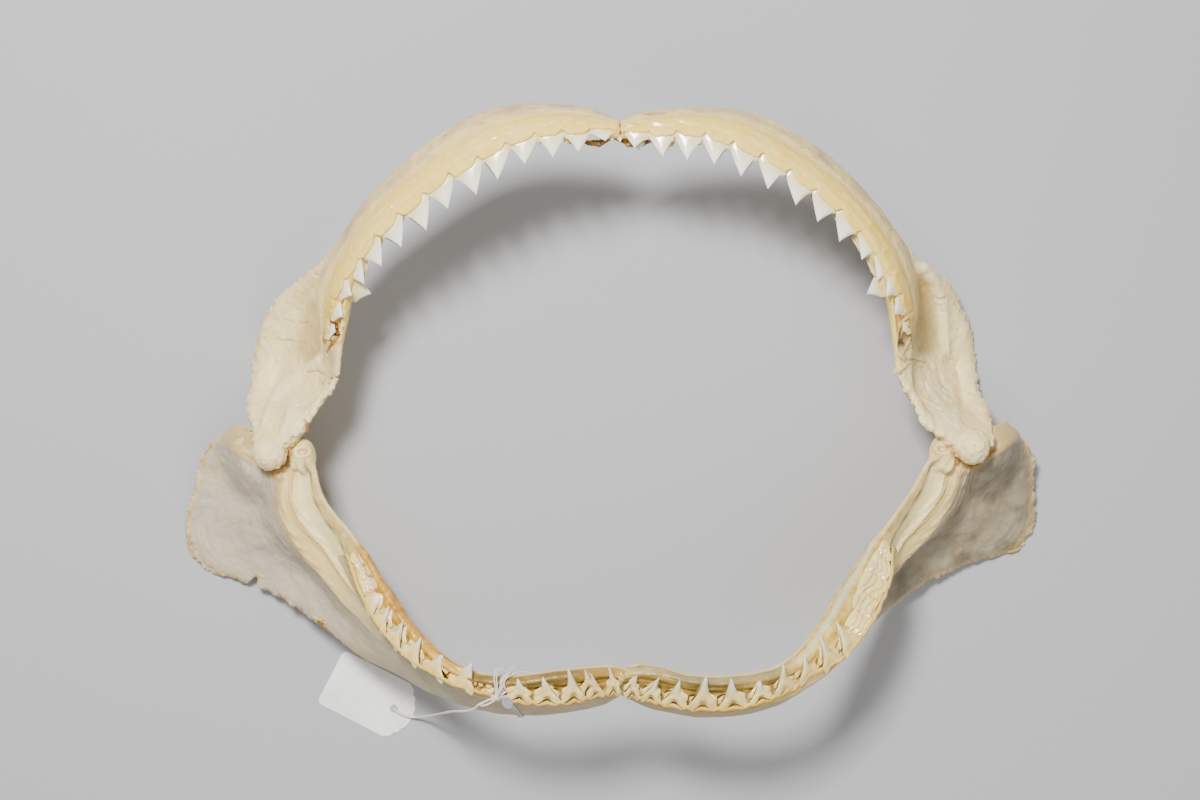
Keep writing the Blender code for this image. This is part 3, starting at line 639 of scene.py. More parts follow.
# ---- Upper teeth and their gum --------------------------------------------------------------
# Broad serrated triangles, white and glassy, bedded edge to edge in the bar. Dried yellow gum laps
# over their roots in a scalloped lip that is low between every two teeth. Two more teeth of each file
# wait behind. For each tooth from the symphysis back: station, height, and how far its tip leans.
UPPER_TEETH = {
    "upper_right": [
        (0.78, 7.2, -1), (1.44, 13.6, 1.2), (2.04, 16.1, 1.8), (2.72, 16.4, 3.2), (3.4, 18.2, 4.8),
        (4.08, 19.5, 3.9), (4.7, 17, 4.6), (5.3, 18.5, 5.2), (5.94, 15.4, 5.4), (6.6, 13.4, 6),
        (7.26, 10.8, 5.6), (7.94, 12.5, 0.5), (8.7, 12, 1.5), (9.4, 7.5, 0.3)],
    "upper_left": [
        (0.78, 9.8, 0.3), (1.42, 14.9, 3.6), (2.04, 17, 3), (2.7, 16.9, 4), (3.38, 17.9, 4.4),
        (4.06, 17.2, 4.4), (4.74, 15.6, 5.8), (5.38, 15.1, 4.6), (6, 14.3, 4.8), (6.6, 10.6, 5.6),
        (7.22, 8.9, 6.2), (7.88, 12, 3.2), (8.56, 12, 2.4), (9.26, 6.5, 2.5)],
}
CROWN_LABIAL, CROWN_LINGUAL = 1.3, 2.0  # mm from a crown's middle plane to its two faces
SERRATION, SERRATION_PITCH = 0.11, 0.75
NOTCH_HEIGHT = 7  # mm above the base, where a crown's width is taken again
TOOTH_SHARP = 48  # degrees
# The waiting teeth of a file: how far across, how far out of the skin, degrees turned back, and
# size. The last station that has them.
WAITING, LAST_WAITING = [(0.95, -4.0, 78, 0.9), (0.9, -7.4, 128, 0.8)], 8
GUM_GRID = (640, 30)


def upper_root(half, s):
    """Where the upper crowns leave the bar."""
    u = (0.9 - 0.06 * rise(s, 7, 9)) * (0.91 + 0.09 * rise(s, 0.8, 1.7))
    crown = 1.7 + 1.1 * (1 - rise(s, 7.5, 10.5))
    return half.at(s, u, crown * top_side(u) ** EDGE_BLUNTNESS - 0.8)


def tooth_frame(half, s, tilt=None):
    """Directions along the jaw, towards a tooth's tip, and out of its front face. tilt is the rise
    for each unit across the mouth; without one it is that of the upper teeth."""
    _, _, along, across, _ = half.axes(s)
    flat = across * np.array([1, 1, 0])
    if tilt is None:
        tilt = 0.1 + 0.9 * across[..., 2] / np.linalg.norm(flat, axis=-1) * rise(s, 7, 8.5)
    up = unit(unit(flat) + np.asarray(tilt)[..., None] * np.array([0, 0, 1.0]))
    along = unit(along - up * np.sum(along * up, axis=-1, keepdims=True))
    face = np.cross(along, up)
    return along, up, face * np.sign(face[..., 2:])


def turned_back(frame_of_tooth, angle):
    """A tooth's frame folded back from its front face by an angle in degrees."""
    along, up, face = frame_of_tooth
    c, s = math.cos(math.radians(angle)), math.sin(math.radians(angle))
    return along, up * c - face * s, face * c + up * s


def shares(row, root_of):
    """Each tooth of a row: its number, station, height and lean, and its base's middle and width."""
    marks = [root_of(s) for s, _, _ in row]
    marks = [2 * marks[0] - marks[1], *marks, 2 * marks[-1] - marks[-2]]
    for index, mark in enumerate(row):
        start, end = (marks[index] + marks[index + 1]) / 2, (marks[index + 1] + marks[index + 2]) / 2
        yield index, *mark, (start + end) / 2, float(np.linalg.norm(end - start))


def tooth(name, base, frame_of_tooth, outline, width, height, depth, faces, lobes=0.0, detail=(84, 26)):
    """One tooth as a rolled grid. outline(h) gives the two edges at each height, depth is how far the
    root goes below the base, faces is the thickness in front and behind, and lobes parts the root."""
    along, up, face = frame_of_tooth
    heights = np.linspace(-depth, height, 400)
    left, right = outline(heights)

    def place(x, y):
        h = -depth + (height + depth) * x
        a, b = outline(h)
        front = y < 0.5
        sideways = a + (b - a) * (1 - np.cos(np.pi * np.where(front, y * 2, 2 - y * 2))) / 2
        top = np.interp(-sideways, -right, heights, height, height)
        if np.all(np.diff(left) >= 0):
            top = np.minimum(np.interp(sideways, left, heights, height, height), top)
        root = 1 - rise(h, height * 0.12, height * 0.4)
        gap = np.array([sideways - a + 1.6 * root, b - sideways + 1.6 * root, top - h + 0.05])
        to_edge = 1 / np.sqrt(np.sum(1 / np.maximum(gap, 0.02) ** 2, axis=0))
        bulge = 1 - np.exp(-to_edge / (0.09 * width + 0.25))
        z = np.where(front, faces[0], -faces[1]) * bulge
        off = sideways / (width / 2)
        arch = lobes * (1 - rise(h, -depth, height * 0.34))
        z = z + np.where(front, 0.9, 0) * arch * (bell(np.abs(off), 0.6, 0.25) - 0.6 * bell(off, 0, 0.3))
        h = h + arch * (2.3 - 4.6 * np.abs(off) ** 1.25)
        return base + sideways[:, None] * along + h[:, None] * up + z[:, None] * face
    return rolled(name, *detail, place)


def teeth_of(name, made, enamel=1.0):
    """Joins a row of teeth, and stores for each point how far towards its tip it is, how much painted
    shade its creases get, and how worn. made holds each piece, its base, its way up, its height and
    how worn its top is."""
    crowns, worn = [], []
    for piece, base, up, height, wear in made:
        p = points_of(piece)
        crowns.append((p - base) @ up / height * enamel)
        worn.append(wear * rise(crowns[-1], 0.24, 0.33) * (0.7 + 0.4 * grain(p, 4, 2)))
    pieces = [each[0] for each in made]
    # Brown in the teeth's creases, and their lean to root cream there, is painted shade.
    stain_and_crease_shade = np.concatenate([rise(depth_in_folds(piece, 5), 0.04, 0.25) for piece in pieces])
    row = joined(name, pieces)
    store(row, "Stain", stain_and_crease_shade * 0.7)
    store(row, "Crown", np.concatenate(crowns) - 0.3 * stain_and_crease_shade)
    store(row, "Worn", np.concatenate(worn))
    finish(row, TOOTH, sharp=TOOTH_SHARP)


def tooth_material():
    """Enamel: cream at the root, white and clear towards the tip, with a wet-looking gloss, and painted shade
    in its creases.
    """
    made, tree, place = new_material("tooth_enamel", Subsurface_Weight=0.12, Subsurface_Scale=0.002,
                                     Subsurface_Radius=(1.0, 0.8, 0.6), Coat_Weight=0.5, Coat_Roughness=0.08)
    crown = stored(tree, "Crown")
    cloud, fine = noise_node(tree, place, 260, 4), noise_node(tree, place, 1500, 3)
    root_colour = mix_node(tree, ramp_node(tree, cloud, 0.35, 0.7), ROOT_CREAM, ROOT_STAIN)
    enamel = mix_node(tree, ramp_node(tree, cloud, 0.3, 0.7, 0, 0.6), ENAMEL, ENAMEL_WARM)
    colour = mix_node(tree, ramp_node(tree, crown, 0.22, 0.72), root_colour, enamel)
    colour = mix_node(tree, stored(tree, "Worn"), colour, WORN_PINK)
    # Brown in the creases is painted shade.
    colour = mix_node(tree, stored(tree, "Stain"), colour, TOOTH_CREASE_SHADE)
    wire(tree, Base_Color=colour, Roughness=ramp_node(tree, crown, 0.15, 0.45, 0.42, 0.16),
         Normal=bump_node(tree, [(cloud, 0.5), (fine, 0.2)], 0.0004, 0.35))
    return made


ENAMEL, ENAMEL_WARM = shade(255, 253, 242), shade(255, 243, 204)
ROOT_CREAM, ROOT_STAIN = shade(250, 226, 148), shade(232, 198, 112)
# The first colour is the brown painted as shade in the teeth's creases; the second, worn tops.
TOOTH_CREASE_SHADE, WORN_PINK = shade(150, 104, 44), shade(206, 180, 164)
TOOTH = tooth_material()


def broad_outline(width, narrowed, height, tip):
    """A crown's front and back edge: steep and bulging in front, hollow behind with a low shoulder,
    and finely serrated."""
    hook = 0.62 - 0.3 * np.clip((tip / width - 0.1) / 0.35, 0, 1)

    def outline(h):
        q = np.clip((h / height - 0.4) / 0.6, 0, 1)
        side = (width + (narrowed - width) * np.clip(h / (0.4 * height), 0, 1)) / 2
        saw = SERRATION * np.abs(2 * ((h / SERRATION_PITCH) % 1) - 1) * rise(q, 0.0, 0.05) * (1 - q**6)
        front = -side + (tip + side) * q ** (1 + 0.9 * (0.62 - hook)) - saw
        back = side + (tip - side) * q**hook + saw
        return np.minimum(front, tip - 0.15), np.maximum(back, tip + 0.15)
    return outline


for name, row in UPPER_TEETH.items():
    half, made = HALVES[name], []
    luck = np.random.default_rng(5 if name == "upper_right" else 6)
    notches = list(shares(row, lambda s: upper_root(half, s) + tooth_frame(half, s)[1] * NOTCH_HEIGHT))
    for index, s, height, lean, base, width in shares(row, lambda s: upper_root(half, s)):
        narrowed = width + (notches[index][-1] - width) * 0.4 * height / NOTCH_HEIGHT
        along, up, face = tooth_frame(half, s)
        twist = luck.uniform(0.03, 0.09)
        turned = (unit(along + face * twist), up, unit(face - along * twist))
        faces = (CROWN_LABIAL * min(1, height / 12), CROWN_LINGUAL * min(1, height / 12))
        piece = tooth(f"{name}_tooth_{index}", base, turned,
                      broad_outline(width + 0.2, narrowed, height, lean), width, height, 0.8, faces)
        made.append((piece, base, up, height, 0))
    teeth_of(name + "_teeth", made)
    made = []
    for index, s, height, lean, _, width in shares(row, lambda s: upper_root(half, s)):
        if index == 0 or s > LAST_WAITING:
            continue
        for file_place, (inward, drop, angle, size) in enumerate(WAITING):
            base, frame_here = half.at(s, inward, drop), turned_back(tooth_frame(half, s), angle)
            wide, tall = width * size, height * size
            piece = tooth(f"{name}_waiting_{index}_{file_place}", base, frame_here,
                          broad_outline(wide, wide, tall, lean * size), wide, tall, 1.5, (1.0, 1.2),
                          detail=(40, 20))
            made.append((piece, base, frame_here[1], tall, 0))
    teeth_of(name + "_teeth_waiting", made)


def gum_material():
    """Dried gum: yellow and horny, a little see-through, darker where it is thick."""
    made, tree, place = new_material("dried_gum", Subsurface_Weight=0.2, Subsurface_Scale=0.003,
                                     Subsurface_Radius=(1.0, 0.6, 0.3), Specular_IOR_Level=0.4)
    mottle, fine = noise_node(tree, place, 160, 5, 0.65), noise_node(tree, place, 1800, 3)
    wrinkle = noise_node(tree, stretch_node(tree, stored(tree, "Lie", "Vector"), (0.5, 0.16, 1)), 1.0, 4)
    colour = mix_node(tree, ramp_node(tree, mottle, 0.35, 0.7, 0, 0.5), stored(tree, "Tint", "Color"),
                      (0.80, 0.66, 0.42), "MULTIPLY")
    wire(tree, Base_Color=colour, Roughness=less_gloss(tree, ramp_node(tree, mottle, 0.3, 0.7, 0.52, 0.66)),
         Normal=bump_node(tree, [(mottle, 0.6), (wrinkle, 0.7), (fine, 0.15)], 0.0006, 0.5))
    return made


GUM = gum_material()


def in_share(row, s):
    """For each station, how far through its tooth's share it lies, and that tooth's height."""
    stations = np.array([at for at, *_ in row])
    ends = np.concatenate([[1.5 * stations[0] - 0.5 * stations[1]], (stations[1:] + stations[:-1]) / 2,
                           [1.5 * stations[-1] - 0.5 * stations[-2]]])
    index = np.clip(np.searchsorted(ends, s) - 1, 0, len(row) - 1)
    t = np.clip((s - ends[index]) / (ends[index + 1] - ends[index]), 0, 1)
    return t, np.array([height for _, height, *_ in row])[index]


def lip(name, reach, ring_at, layers_at):
    """A band of gum rolled round a ring of control points that ring_at(s) gives at each station.
    layers_at(points, folds) gives the colours over its yellow and cream."""
    def place(x, y):
        s = reach[0] + (reach[1] - reach[0]) * x
        ring = ring_at(s)
        ring = np.array([*ring, ring[0]])
        f = y * (len(ring) - 1)
        i = np.clip(f.astype(int), 0, len(ring) - 2)
        k = np.arange(len(s))
        f = (f - i)[:, None]
        low, high = ring[i, k], ring[i + 1, k]
        return low + (high - low) * f
    piece = rolled(name, *GUM_GRID, place)
    apply(piece, "SMOOTH", factor=0.5, iterations=6)
    p = pushed(piece, lambda p: 0.12 * grain(p, 1.6, 2) + 0.15 * grain(p, 5, 2))
    colours = layered(GUM_YELLOW, (CREAM, 0.5 * rise(grain(p, 6, 2), -0.2, 0.6)),
                      *layers_at(p, depth_in_folds(piece, 8)))
    paint(piece, colours, np.zeros(len(p)), p * np.array([1, 1, 0.3]))
    finish(piece, GUM)


for name, row in UPPER_TEETH.items():
    half = HALVES[name]

    def ring_at(s):
        base = upper_root(half, s)
        _, up, face = tooth_frame(half, s)
        t, height = in_share(row, s)
        edge = height / 16 * np.interp(t, [0, 0.06, 0.2, 0.35, 0.5, 0.75, 0.93, 1.0],
                                       [3.8, 3.3, 5.0, 6.1, 6.4, 6.3, 6.2, 5.1])
        edge = edge + 0.25 * grain(base, 1.2, 2) - 1.5 * rise(s, 9.3, 9.8) - 1.2 * (1 - rise(s, 0.9, 1.6))
        crown = (CROWN_LABIAL + 0.15) * np.minimum(1, height / 12)

        def on_bar(share, lift):
            v = share * (0.9 - 0.06 * rise(s, 7, 9) - fold(s)) / (np.maximum(bar_limit(s), 0.9) - fold(s))
            u, skin = bar(s, v, top_side(v))
            return half.at(s, u, skin + lift)

        def on_tooth(up_by, out_by):
            return base + up * up_by[:, None] + face * (crown + out_by)[:, None]
        return [on_bar(0.62, -1.5), on_bar(0.68, -0.5), on_bar(0.76, 0.1), on_bar(0.86, 0.4),
                on_tooth(edge - 2.4, 0.75), on_tooth(edge - 1.2, 0.62), on_tooth(edge - 0.35, 0.42),
                on_tooth(edge, 0.12), on_tooth(edge - 0.1, -0.35), on_tooth(np.full(len(s), -1.5), -1.4)]

    def layers_at(p, deep):
        # Amber in the gum's folds is painted shade.
        return [(AMBER, 0.6 * rise(deep, 0.05, 0.35)),
                (AMBER, rise(-p[:, 1], -62, -40) * 0.6 * rise(grain(p + 30, 3, 2), -0.3, 0.4)),
                (BROWN, rise(-p[:, 1], -44, -34) * 0.7)]
    lip(name + "_gum", (0.15, 9.9), ring_at, layers_at)

# ---- Lower cartilages -----------------------------------------------------------------------
# Each half of the lower jaw is one cartilage: a bar with a ridge for the gum and a trough behind
# it, which widens into a hollow wing and ends in the joint's socket. It has dried greyer than the
# upper one. It is rolled and fused in the same way.
LOWER_RIGHT = [
    ((5.3, -141, 84), (5.3, -129, 104)),
    ((-6, -147, 80), (-6, -128, 106)),
    ((-25, -151, 79), (-23.5, -129, 108)),
    ((-47.5, -152, 77), (-44, -132, 107)),
    ((-70.5, -149.5, 70), (-65, -131.5, 103)),
    ((-90.5, -143.5, 59), (-81.5, -125, 97)),
    ((-110.5, -135.5, 46), (-94, -114.5, 90)),
    ((-131, -126.5, 34), (-104.5, -101.5, 83)),
    ((-153.5, -111.5, 20), (-114, -87.5, 76)),
    ((-178, -97, 8), (-122.5, -74, 70)),
    ((-199, -90.5, 2), (-132, -61.5, 64)),
    ((-219.5, -82, -1.2), (-141, -51.5, 60)),
    ((-227, -65, 0.3), (-147.5, -41.5, 57)),
    ((-220.5, -41.5, 6), (-150.5, -30.5, 55)),
    ((-213, -21, 13), (-152.5, -22.5, 54)),
    ((-194.5, -7, 22), (-157, -16, 50)),
]
LOWER_LEFT = [
    ((5.7, -141, 84), (5.7, -129, 104)),
    ((20, -148.5, 80), (20.5, -127.5, 106)),
    ((40, -152.5, 79), (40, -131.5, 108)),
    ((64, -152.5, 77), (61, -132, 107)),
    ((86, -147.5, 70), (82.5, -129, 103)),
    ((103, -139.5, 57), (96.5, -120.5, 97)),
    ((118, -129, 42), (105.5, -109.5, 91)),
    ((132, -116, 28), (115, -96, 84)),
    ((148.5, -104, 16), (124, -81.5, 77)),
    ((168, -90.5, 8), (132.5, -68, 71)),
    ((190.5, -81, 3), (141, -58, 66)),
    ((215, -75.5, -1.2), (149, -47, 61)),
    ((226, -64, 0.3), (156.5, -36.5, 58)),
    ((226, -42.5, 6), (162, -27, 56)),
    ((223, -22, 13), (167.5, -20, 55)),
    ((207, -6, 22), (172, -13.5, 50)),
]
# The gum ridge at the first stations: how far across the section it stands, and how far out of it.
GUM_RIDGE = {
    "lower_right": [(0.60, 4), (0.60, 5.5), (0.57, 7), (0.64, 5), (0.74, 3.2), (0.80, 3.5),
                    (0.84, 5.5), (0.845, 7.2), (0.87, 7), (0.90, 4.5), (0.93, 1.5)],
    "lower_left": [(0.57, 4.5), (0.54, 7.5), (0.56, 7.5), (0.59, 7.8), (0.67, 7.5), (0.75, 10.2),
                   (0.81, 13), (0.83, 15), (0.845, 14), (0.87, 9.3), (0.93, 2)],
}
HALVES |= {"lower_right": Half(LOWER_RIGHT, -1), "lower_left": Half(LOWER_LEFT, 1)}
JOINTS = {"right": (BALL_RIGHT, (-157, -21, 53)), "left": (BALL_LEFT, (170, -19.5, 53))}  # ball, process
PROCESS_RADII, PROCESS_DROP = (6.4, 9.5, 5.4), 1.0
# The shelf under the ball: its height, and its lower rim in plan, outwards and forwards from the ball.
SHELF_HEIGHT, SHELF_RIM = 46, [(23.9, 1.8), (13.6, -3.3), (3.4, -10.5), (-5.9, -13.6)]
WING_NOTCH = (-190, -92.5, 6), (5.5, 3.0, 12), 0.9  # a bite out of the right wing: centre, radii, angle
SOCKET_GAP, SOCKET_REACH = 0.35, 36
LENS_EDGES = ([8.5, 9, 10, 11, 12, 13, 14], [0.70, 0.72, 0.76, 0.80, 0.82, 0.85, 0.87],
              [0.84, 0.86, 0.90, 0.93, 0.95, 0.965, 0.98])
DULL_WHITE, CREST_STAIN = shade(202, 187, 156), shade(190, 156, 84)
LENS_CREAM, AMBER_DEEP = shade(255, 238, 174), shade(184, 132, 44)
# The grey of each wing's hollow: its own grey on the right, and on the left a far darker grey that is painted
# shade.
FOSSA_GREY_AND_SHADE = {"right": shade(190, 179, 160), "left": shade(116, 107, 90)}
RIM_PALE = {"right": shade(226, 200, 134), "left": shade(204, 206, 182)}
RIM_STARTS = {"right": (-0.5, -0.3), "left": (-0.1, 0.25)}  # where round the top edge its pale side starts
TROUGH = {"right": (shade(164, 112, 24), shade(236, 188, 78)),
          "left": (shade(196, 156, 62), shade(242, 214, 120))}
TROUGH_OLIVE = shade(118, 98, 46)
SOCKET_OLIVE = shade(216, 184, 104)


def wing_crest(s):
    """How far across the section the crest beside the wing's hollow lies."""
    return np.interp(s, [8, 9, 10, 11, 12, 15], [0.5, 0.56, 0.62, 0.7, 0.73, 0.78])


def mandible(ridge):
    """The section of a lower half."""
    def shape(s, v, side):
        toothed, wing = 1 - rise(s, 8.5, 10.5), rise(s, 6.5, 9.5) * (1 - rise(s, 14, 15.2))
        crest = wing_crest(s)
        hollow = wing * (1 - rise(v, crest - 0.26, crest)) * rise(v, 0.02, 0.3)
        groove = rise(s, 8.5, 10) * (1 - rise(s, 13.5, 14.5)) * bell(v, crest + 0.15, 0.06)
        at, height = spline(ridge, np.minimum(s, 10)).T
        behind = (v - at) / (1 - at)
        stands = np.where(v < at, rise(v, at - 0.24, at), 1 - behind)
        trough = toothed * bell(behind, 0.55, 0.25) * rise(s, 0, 0.6)
        bend = -7.5 * hollow - 1.6 * groove - 3.4 * trough
        crown = 1.8 + 1.2 * wing * bell(v, crest, 0.08)
        belly = toothed * (3.5 + 2.5 * rise(v, 0.2, 0.6)) + (1 - toothed) * (2.4 + 2.2 * rise(v, 0.5, 0.9))
        blunt = np.abs(side) ** EDGE_BLUNTNESS
        skin = crown * blunt + toothed * (height - 1.4) * stands
        return v, bend * np.abs(side) + np.where(side > 0, skin, -belly * blunt)
    return shape


def mandible_at(name, s, u, lift):
    """The point at share u of the way across a lower half, that far above its skin."""
    _, skin = mandible(GUM_RIDGE[name])(s, u, top_side(u))
    return HALVES[name].at(s, u, skin + lift)


def sink_below(points, side, other, centre):
    """Lowers the points that lie under or in another piece until they clear its underside."""
    tree = surface_of(other)
    for index in np.flatnonzero(np.linalg.norm(points[:, :2] - centre[:2], axis=1) < SOCKET_REACH):
        x, y, z = (points[index] * MM).tolist()
        hit = tree.ray_cast(Vector((x, y, -0.05)), Vector((0, 0, 1)))[0]
        if hit is not None:
            below = 0.0 if side[index] > 0 else 1.6
            points[index, 2] = min(z / MM, hit.z / MM - SOCKET_GAP - below)
    return points


for name, ridge in GUM_RIDGE.items():
    half, where = HALVES[name], name.split("_")[1]
    ball, process = JOINTS[where]
    away = -1 if where == "right" else 1
    sheets = [((0, half.last), mandible(ridge))]
    body = loft(name + "_body", half, *sheets[0], columns=220, rows=72)
    if where == "right":
        tear_out(body, *WING_NOTCH)
    knob = lump(name + "_process", (process[0], process[1] - 3, process[2] - PROCESS_DROP), PROCESS_RADII)
    piece = fused(name + "_cartilage", [body, knob], 6)
    s, u, side = ways_on_jaw(piece, half, sheets)
    p = points_of(piece)
    out_by, ahead_by = (p[:, 0] - ball[0]) * away, p[:, 1] - ball[1]
    on_shelf = 1 - rise(np.hypot(out_by - 5, ahead_by + 2), 10, 30)
    raised = on_shelf * np.maximum(SHELF_HEIGHT - half.at(s, u, 0 * s)[:, 2], 0)
    p[:, 2] += relaxed(piece, np.repeat(raised[:, None], 3, axis=1), 14)[:, 2]
    move_points(piece, p)
    n = normals_of(piece)
    rim_far = from_line(np.column_stack([out_by, ahead_by]), SHELF_RIM)
    above_rim = rise(ahead_by - np.interp(out_by, *zip(*SHELF_RIM[::-1])), -2, 4)
    socket = above_rim * rise(out_by, -4, 2) * (1 - rise(out_by, 22, 31)) * rise(ahead_by, -16, -12)
    lie = np.column_stack([s * 22, u * 40, p[:, 2] * 0.3])
    on_skin = rise(side, -0.2, 0.2)
    at = spline(ridge, np.clip(s, 0, 10))[:, 0]
    wing = rise(s, 6.5, 9) * on_skin
    crest = wing_crest(s)
    lens_left, lens_right = (np.interp(s, LENS_EDGES[0], edge) for edge in LENS_EDGES[1:])
    middle, breadth = (lens_left + lens_right) / 2, (lens_right - lens_left) / 2
    in_lens = rise(s, 7.9, 9.0) * (1 - rise(s, 13.2, 14.2)) * on_skin
    lens = in_lens * (1 - rise(np.abs(u - middle), breadth * 0.6, breadth))
    fossa = wing * (1 - rise(u, crest - 0.12, crest - 0.02)) * (1 - rise(s, 14, 15)) * (1 - socket)
    trough = rise(side, -0.6, -0.35) * (1 - rise(s, 9.2, 9.9)) * rise(u, at + 0.02, at + 0.08)
    at_rim = (rise((u - at) / (1 - at), 0.9, 0.97) * (1 - rise(side, *RIM_STARTS[where]))
              * (0.25 + 0.75 * rise(s, 4, 6)))
    margin = wing * (1 - rise(u, 0.02, 0.09))
    from_process = p[:, :2] - np.array(process[:2])
    ring = np.hypot((from_process[:, 0] + away * 0.25 * from_process[:, 1]) / 3.9, from_process[:, 1] / 2.3)
    on_process = rise(p[:, 2], process[2] - 1, process[2] + 2) * (1 - rise(ring, 1.5, 2))
    lumps = (0.4 * grain(p, 16, 3) + 0.14 * grain(lie, (10, 2.2, 6), 3)
             + fossa * (0.1 * grain(lie, (2.2, 12, 6), 2) + 0.45 * grain(p, 7, 3))
             - 1.4 * lens + in_lens * (1.1 * bell(u, lens_left, 0.013) - 0.8 * bell(u, lens_right, 0.010))
             + wing * (1.1 * bell(u, crest, 0.018) + 0.5 * bell(u, crest - 0.11, 0.012) * rise(s, 9, 10.5))
             + margin * (0.5 + 0.9 * grain(p, 2.8, 3)) + 1.2 * wing * bell(u, 0.07, 0.06)
             + on_skin * on_shelf * (1.1 * bell(rim_far, 0, 1.6) - 1.6 * socket)
             + 0.5 * trough * grain(lie, (14, 1.8, 6), 3)
             + on_process * (0.7 * bell(ring, 1, 0.28) - 1.5 * (1 - rise(ring, 0.45, 0.85)))
             - on_skin * (1 - wing) * 0.5 * bell(u, at - 0.2, 0.03))
    p = sink_below(p + n * lumps[:, None], side, CARTILAGES["upper_" + where], ball)
    p[:, 2] = np.maximum(p[:, 2], 0)
    move_points(piece, p)
    deep, blotch, fleck = depth_in_folds(piece, 6), grain(p, 12, 3), grain(p + 60, 3, 3)
    by_ball = bell(np.linalg.norm(p - np.array(ball), axis=1), BALL_RADIUS + 1.0, 1.6)
    in_trough = layered(
        TROUGH[where][0],
        (TROUGH[where][1], 0.5 + 0.45 * grain(lie + 5, (16, 1.5, 3), 3) + 0.35 * grain(p + 5, 2.2, 3)),
        (TROUGH_OLIVE, (1 - rise(s, 3.6, 5)) * (0.7 + 0.4 * grain(lie + 9, (12, 1.6, 2.5), 2))))
    colours = layered(
        DULL_WHITE,
        (CREAM, (1 - on_skin) + 0.35 * rise(blotch, 0, 0.8)),
        (GREY_BONE, on_skin * (1 - wing) * (1 - rise(u, at - 0.25, at - 0.1)) * (0.4 + 0.5 * blotch)),
        # The left wing's hollow is darkened with painted shade.
        (FOSSA_GREY_AND_SHADE[where], fossa * (0.82 + 0.35 * grain(p + 50, 14, 3))),
        (CREST_STAIN, 0.4 * fossa * rise(grain(p + 80, 5, 3), 0.75, 1.0)),
        (CREAM, 0.5 * margin),
        (CREAM, wing * rise(u, crest, crest + 0.03)),
        (CREST_STAIN, wing * bell(u, crest - 0.01, 0.035) * (0.65 + 0.3 * fleck)),
        (LENS_CREAM, lens),
        (CREST_STAIN, in_lens * bell(u, lens_left - 0.025, 0.022) * 0.55),
        (BROWN, in_lens * bell(u, lens_right, 0.007) * 0.75),
        (OLIVE_TAN, wing * rise(u, lens_right, lens_right + 0.03) * (0.5 + 0.3 * fleck)),
        (CREST_STAIN, margin * rise(fleck, -0.2, 0.5) * 0.8),
        (AMBER_DEEP, margin * rise(grain(p + 33, 5, 2), 0.45, 0.7) * 0.7),
        (GUM_YELLOW, on_skin * (1 - rise(s, 8, 9)) * bell(u, at - 0.06, 0.07) * 0.7),
        (in_trough, trough),
        # Brown deepening in creases is painted shade.
        (BROWN, 0.7 * rise(deep, 0.12, 0.55) * (0.4 + 0.6 * trough)),
        (RIM_PALE[where], trough * at_rim * 0.8),
        # White on sharp ridges is a painted highlight.
        (WHITE_BONE, 0.55 * rise(-deep, 0.12, 0.5) * (1 - trough)),
        (AMBER, on_process * bell(ring, 0.55, 0.22) * 0.45),
        (SOCKET_OLIVE, on_skin * socket * (0.65 + 0.25 * fleck)),
        (CREST_STAIN, on_skin * on_shelf * bell(rim_far, 0.4, 1.0) * 0.7),
        (AMBER, by_ball * (0.35 + 0.5 * rise(-out_by, -3, 5))))
    paint(piece, colours, 0.06 + 0.16 * trough + 0.04 * rise(blotch, 0, 0.5), lie)
    CARTILAGES[name] = finish(piece, CARTILAGE, name)

# ---- Lower teeth and their gum --------------------------------------------------------------
# Narrow smooth cusps on wide roots of two lobes, white with cream roots, each with the next tooth of
# its file lying close behind. The rear ones are low blocks. A yellow gum with a brown edge holds them.
LOWER_TEETH = {
    "lower_right": [
        (0.45, 15, 2.5), (1.05, 13, 2.4), (1.72, 17.5, 3), (2.35, 13, 3), (2.98, 11, 2.4),
        (3.56, 5, 1), (4.36, 13, -1), (5.14, 9.5, 0.5), (5.96, 11.5, 1.9), (6.54, 10.8, 3),
        (7.12, 8.7, 4), (7.7, 7, 1.5), (8.2, 6.4, 0.6), (8.7, 6.7, 0.6), (9.2, 5.6, 0.5)],
    "lower_left": [
        (0.46, 11.6, 2), (1, 13, 3.5), (1.62, 13.2, 2), (2.24, 18.5, 1.6), (2.9, 15.9, 0.3),
        (3.5, 10.2, 1), (4, 14.8, 1.3), (4.7, 12.8, 1.3), (5.4, 15.5, 1.5), (6.08, 16, 1.6),
        (6.9, 13, 1.3), (7.7, 12.5, 1.2), (8.45, 9, 0.9), (9.1, 5.5, 0.5)],
}
LOST_TOOTH = ("lower_right", 5)  # where the string is tied
# A tall tooth close behind another: shift along the jaw, size, degrees turned back, and step inwards.
TWIN = {("lower_right", 1): (3.2, 0.85, 2, 0)}
# Fluted blocks at the back: first and last station, and how far across from the ridge they reach.
BLOCKS = {
    "lower_right": [(8.02, 8.5, 0.0, 0.075), (8.36, 8.86, 0.01, 0.095), (8.8, 9.32, 0.0, 0.08)],
    "lower_left": [(6.55, 7.15, -0.01, 0.07), (7.1, 7.75, 0.0, 0.11), (7.7, 8.35, -0.005, 0.115),
                   (8.3, 8.95, 0.0, 0.10), (8.9, 9.4, 0.0, 0.075)],
}
# What is left of the lost tooth: places in plan and radii.
RUBBLE = [(-61.4, -131.6, 1.5), (-59.2, -133.4, 1.9), (-57.2, -131.8, 1.3), (-55.4, -133.4, 1.2),
          (-58.6, -136.8, 2.1), (-62.0, -137.2, 1.0), (-63.6, -133.8, 1.1)]
LOBE_FACES = (1.7, 2.4)
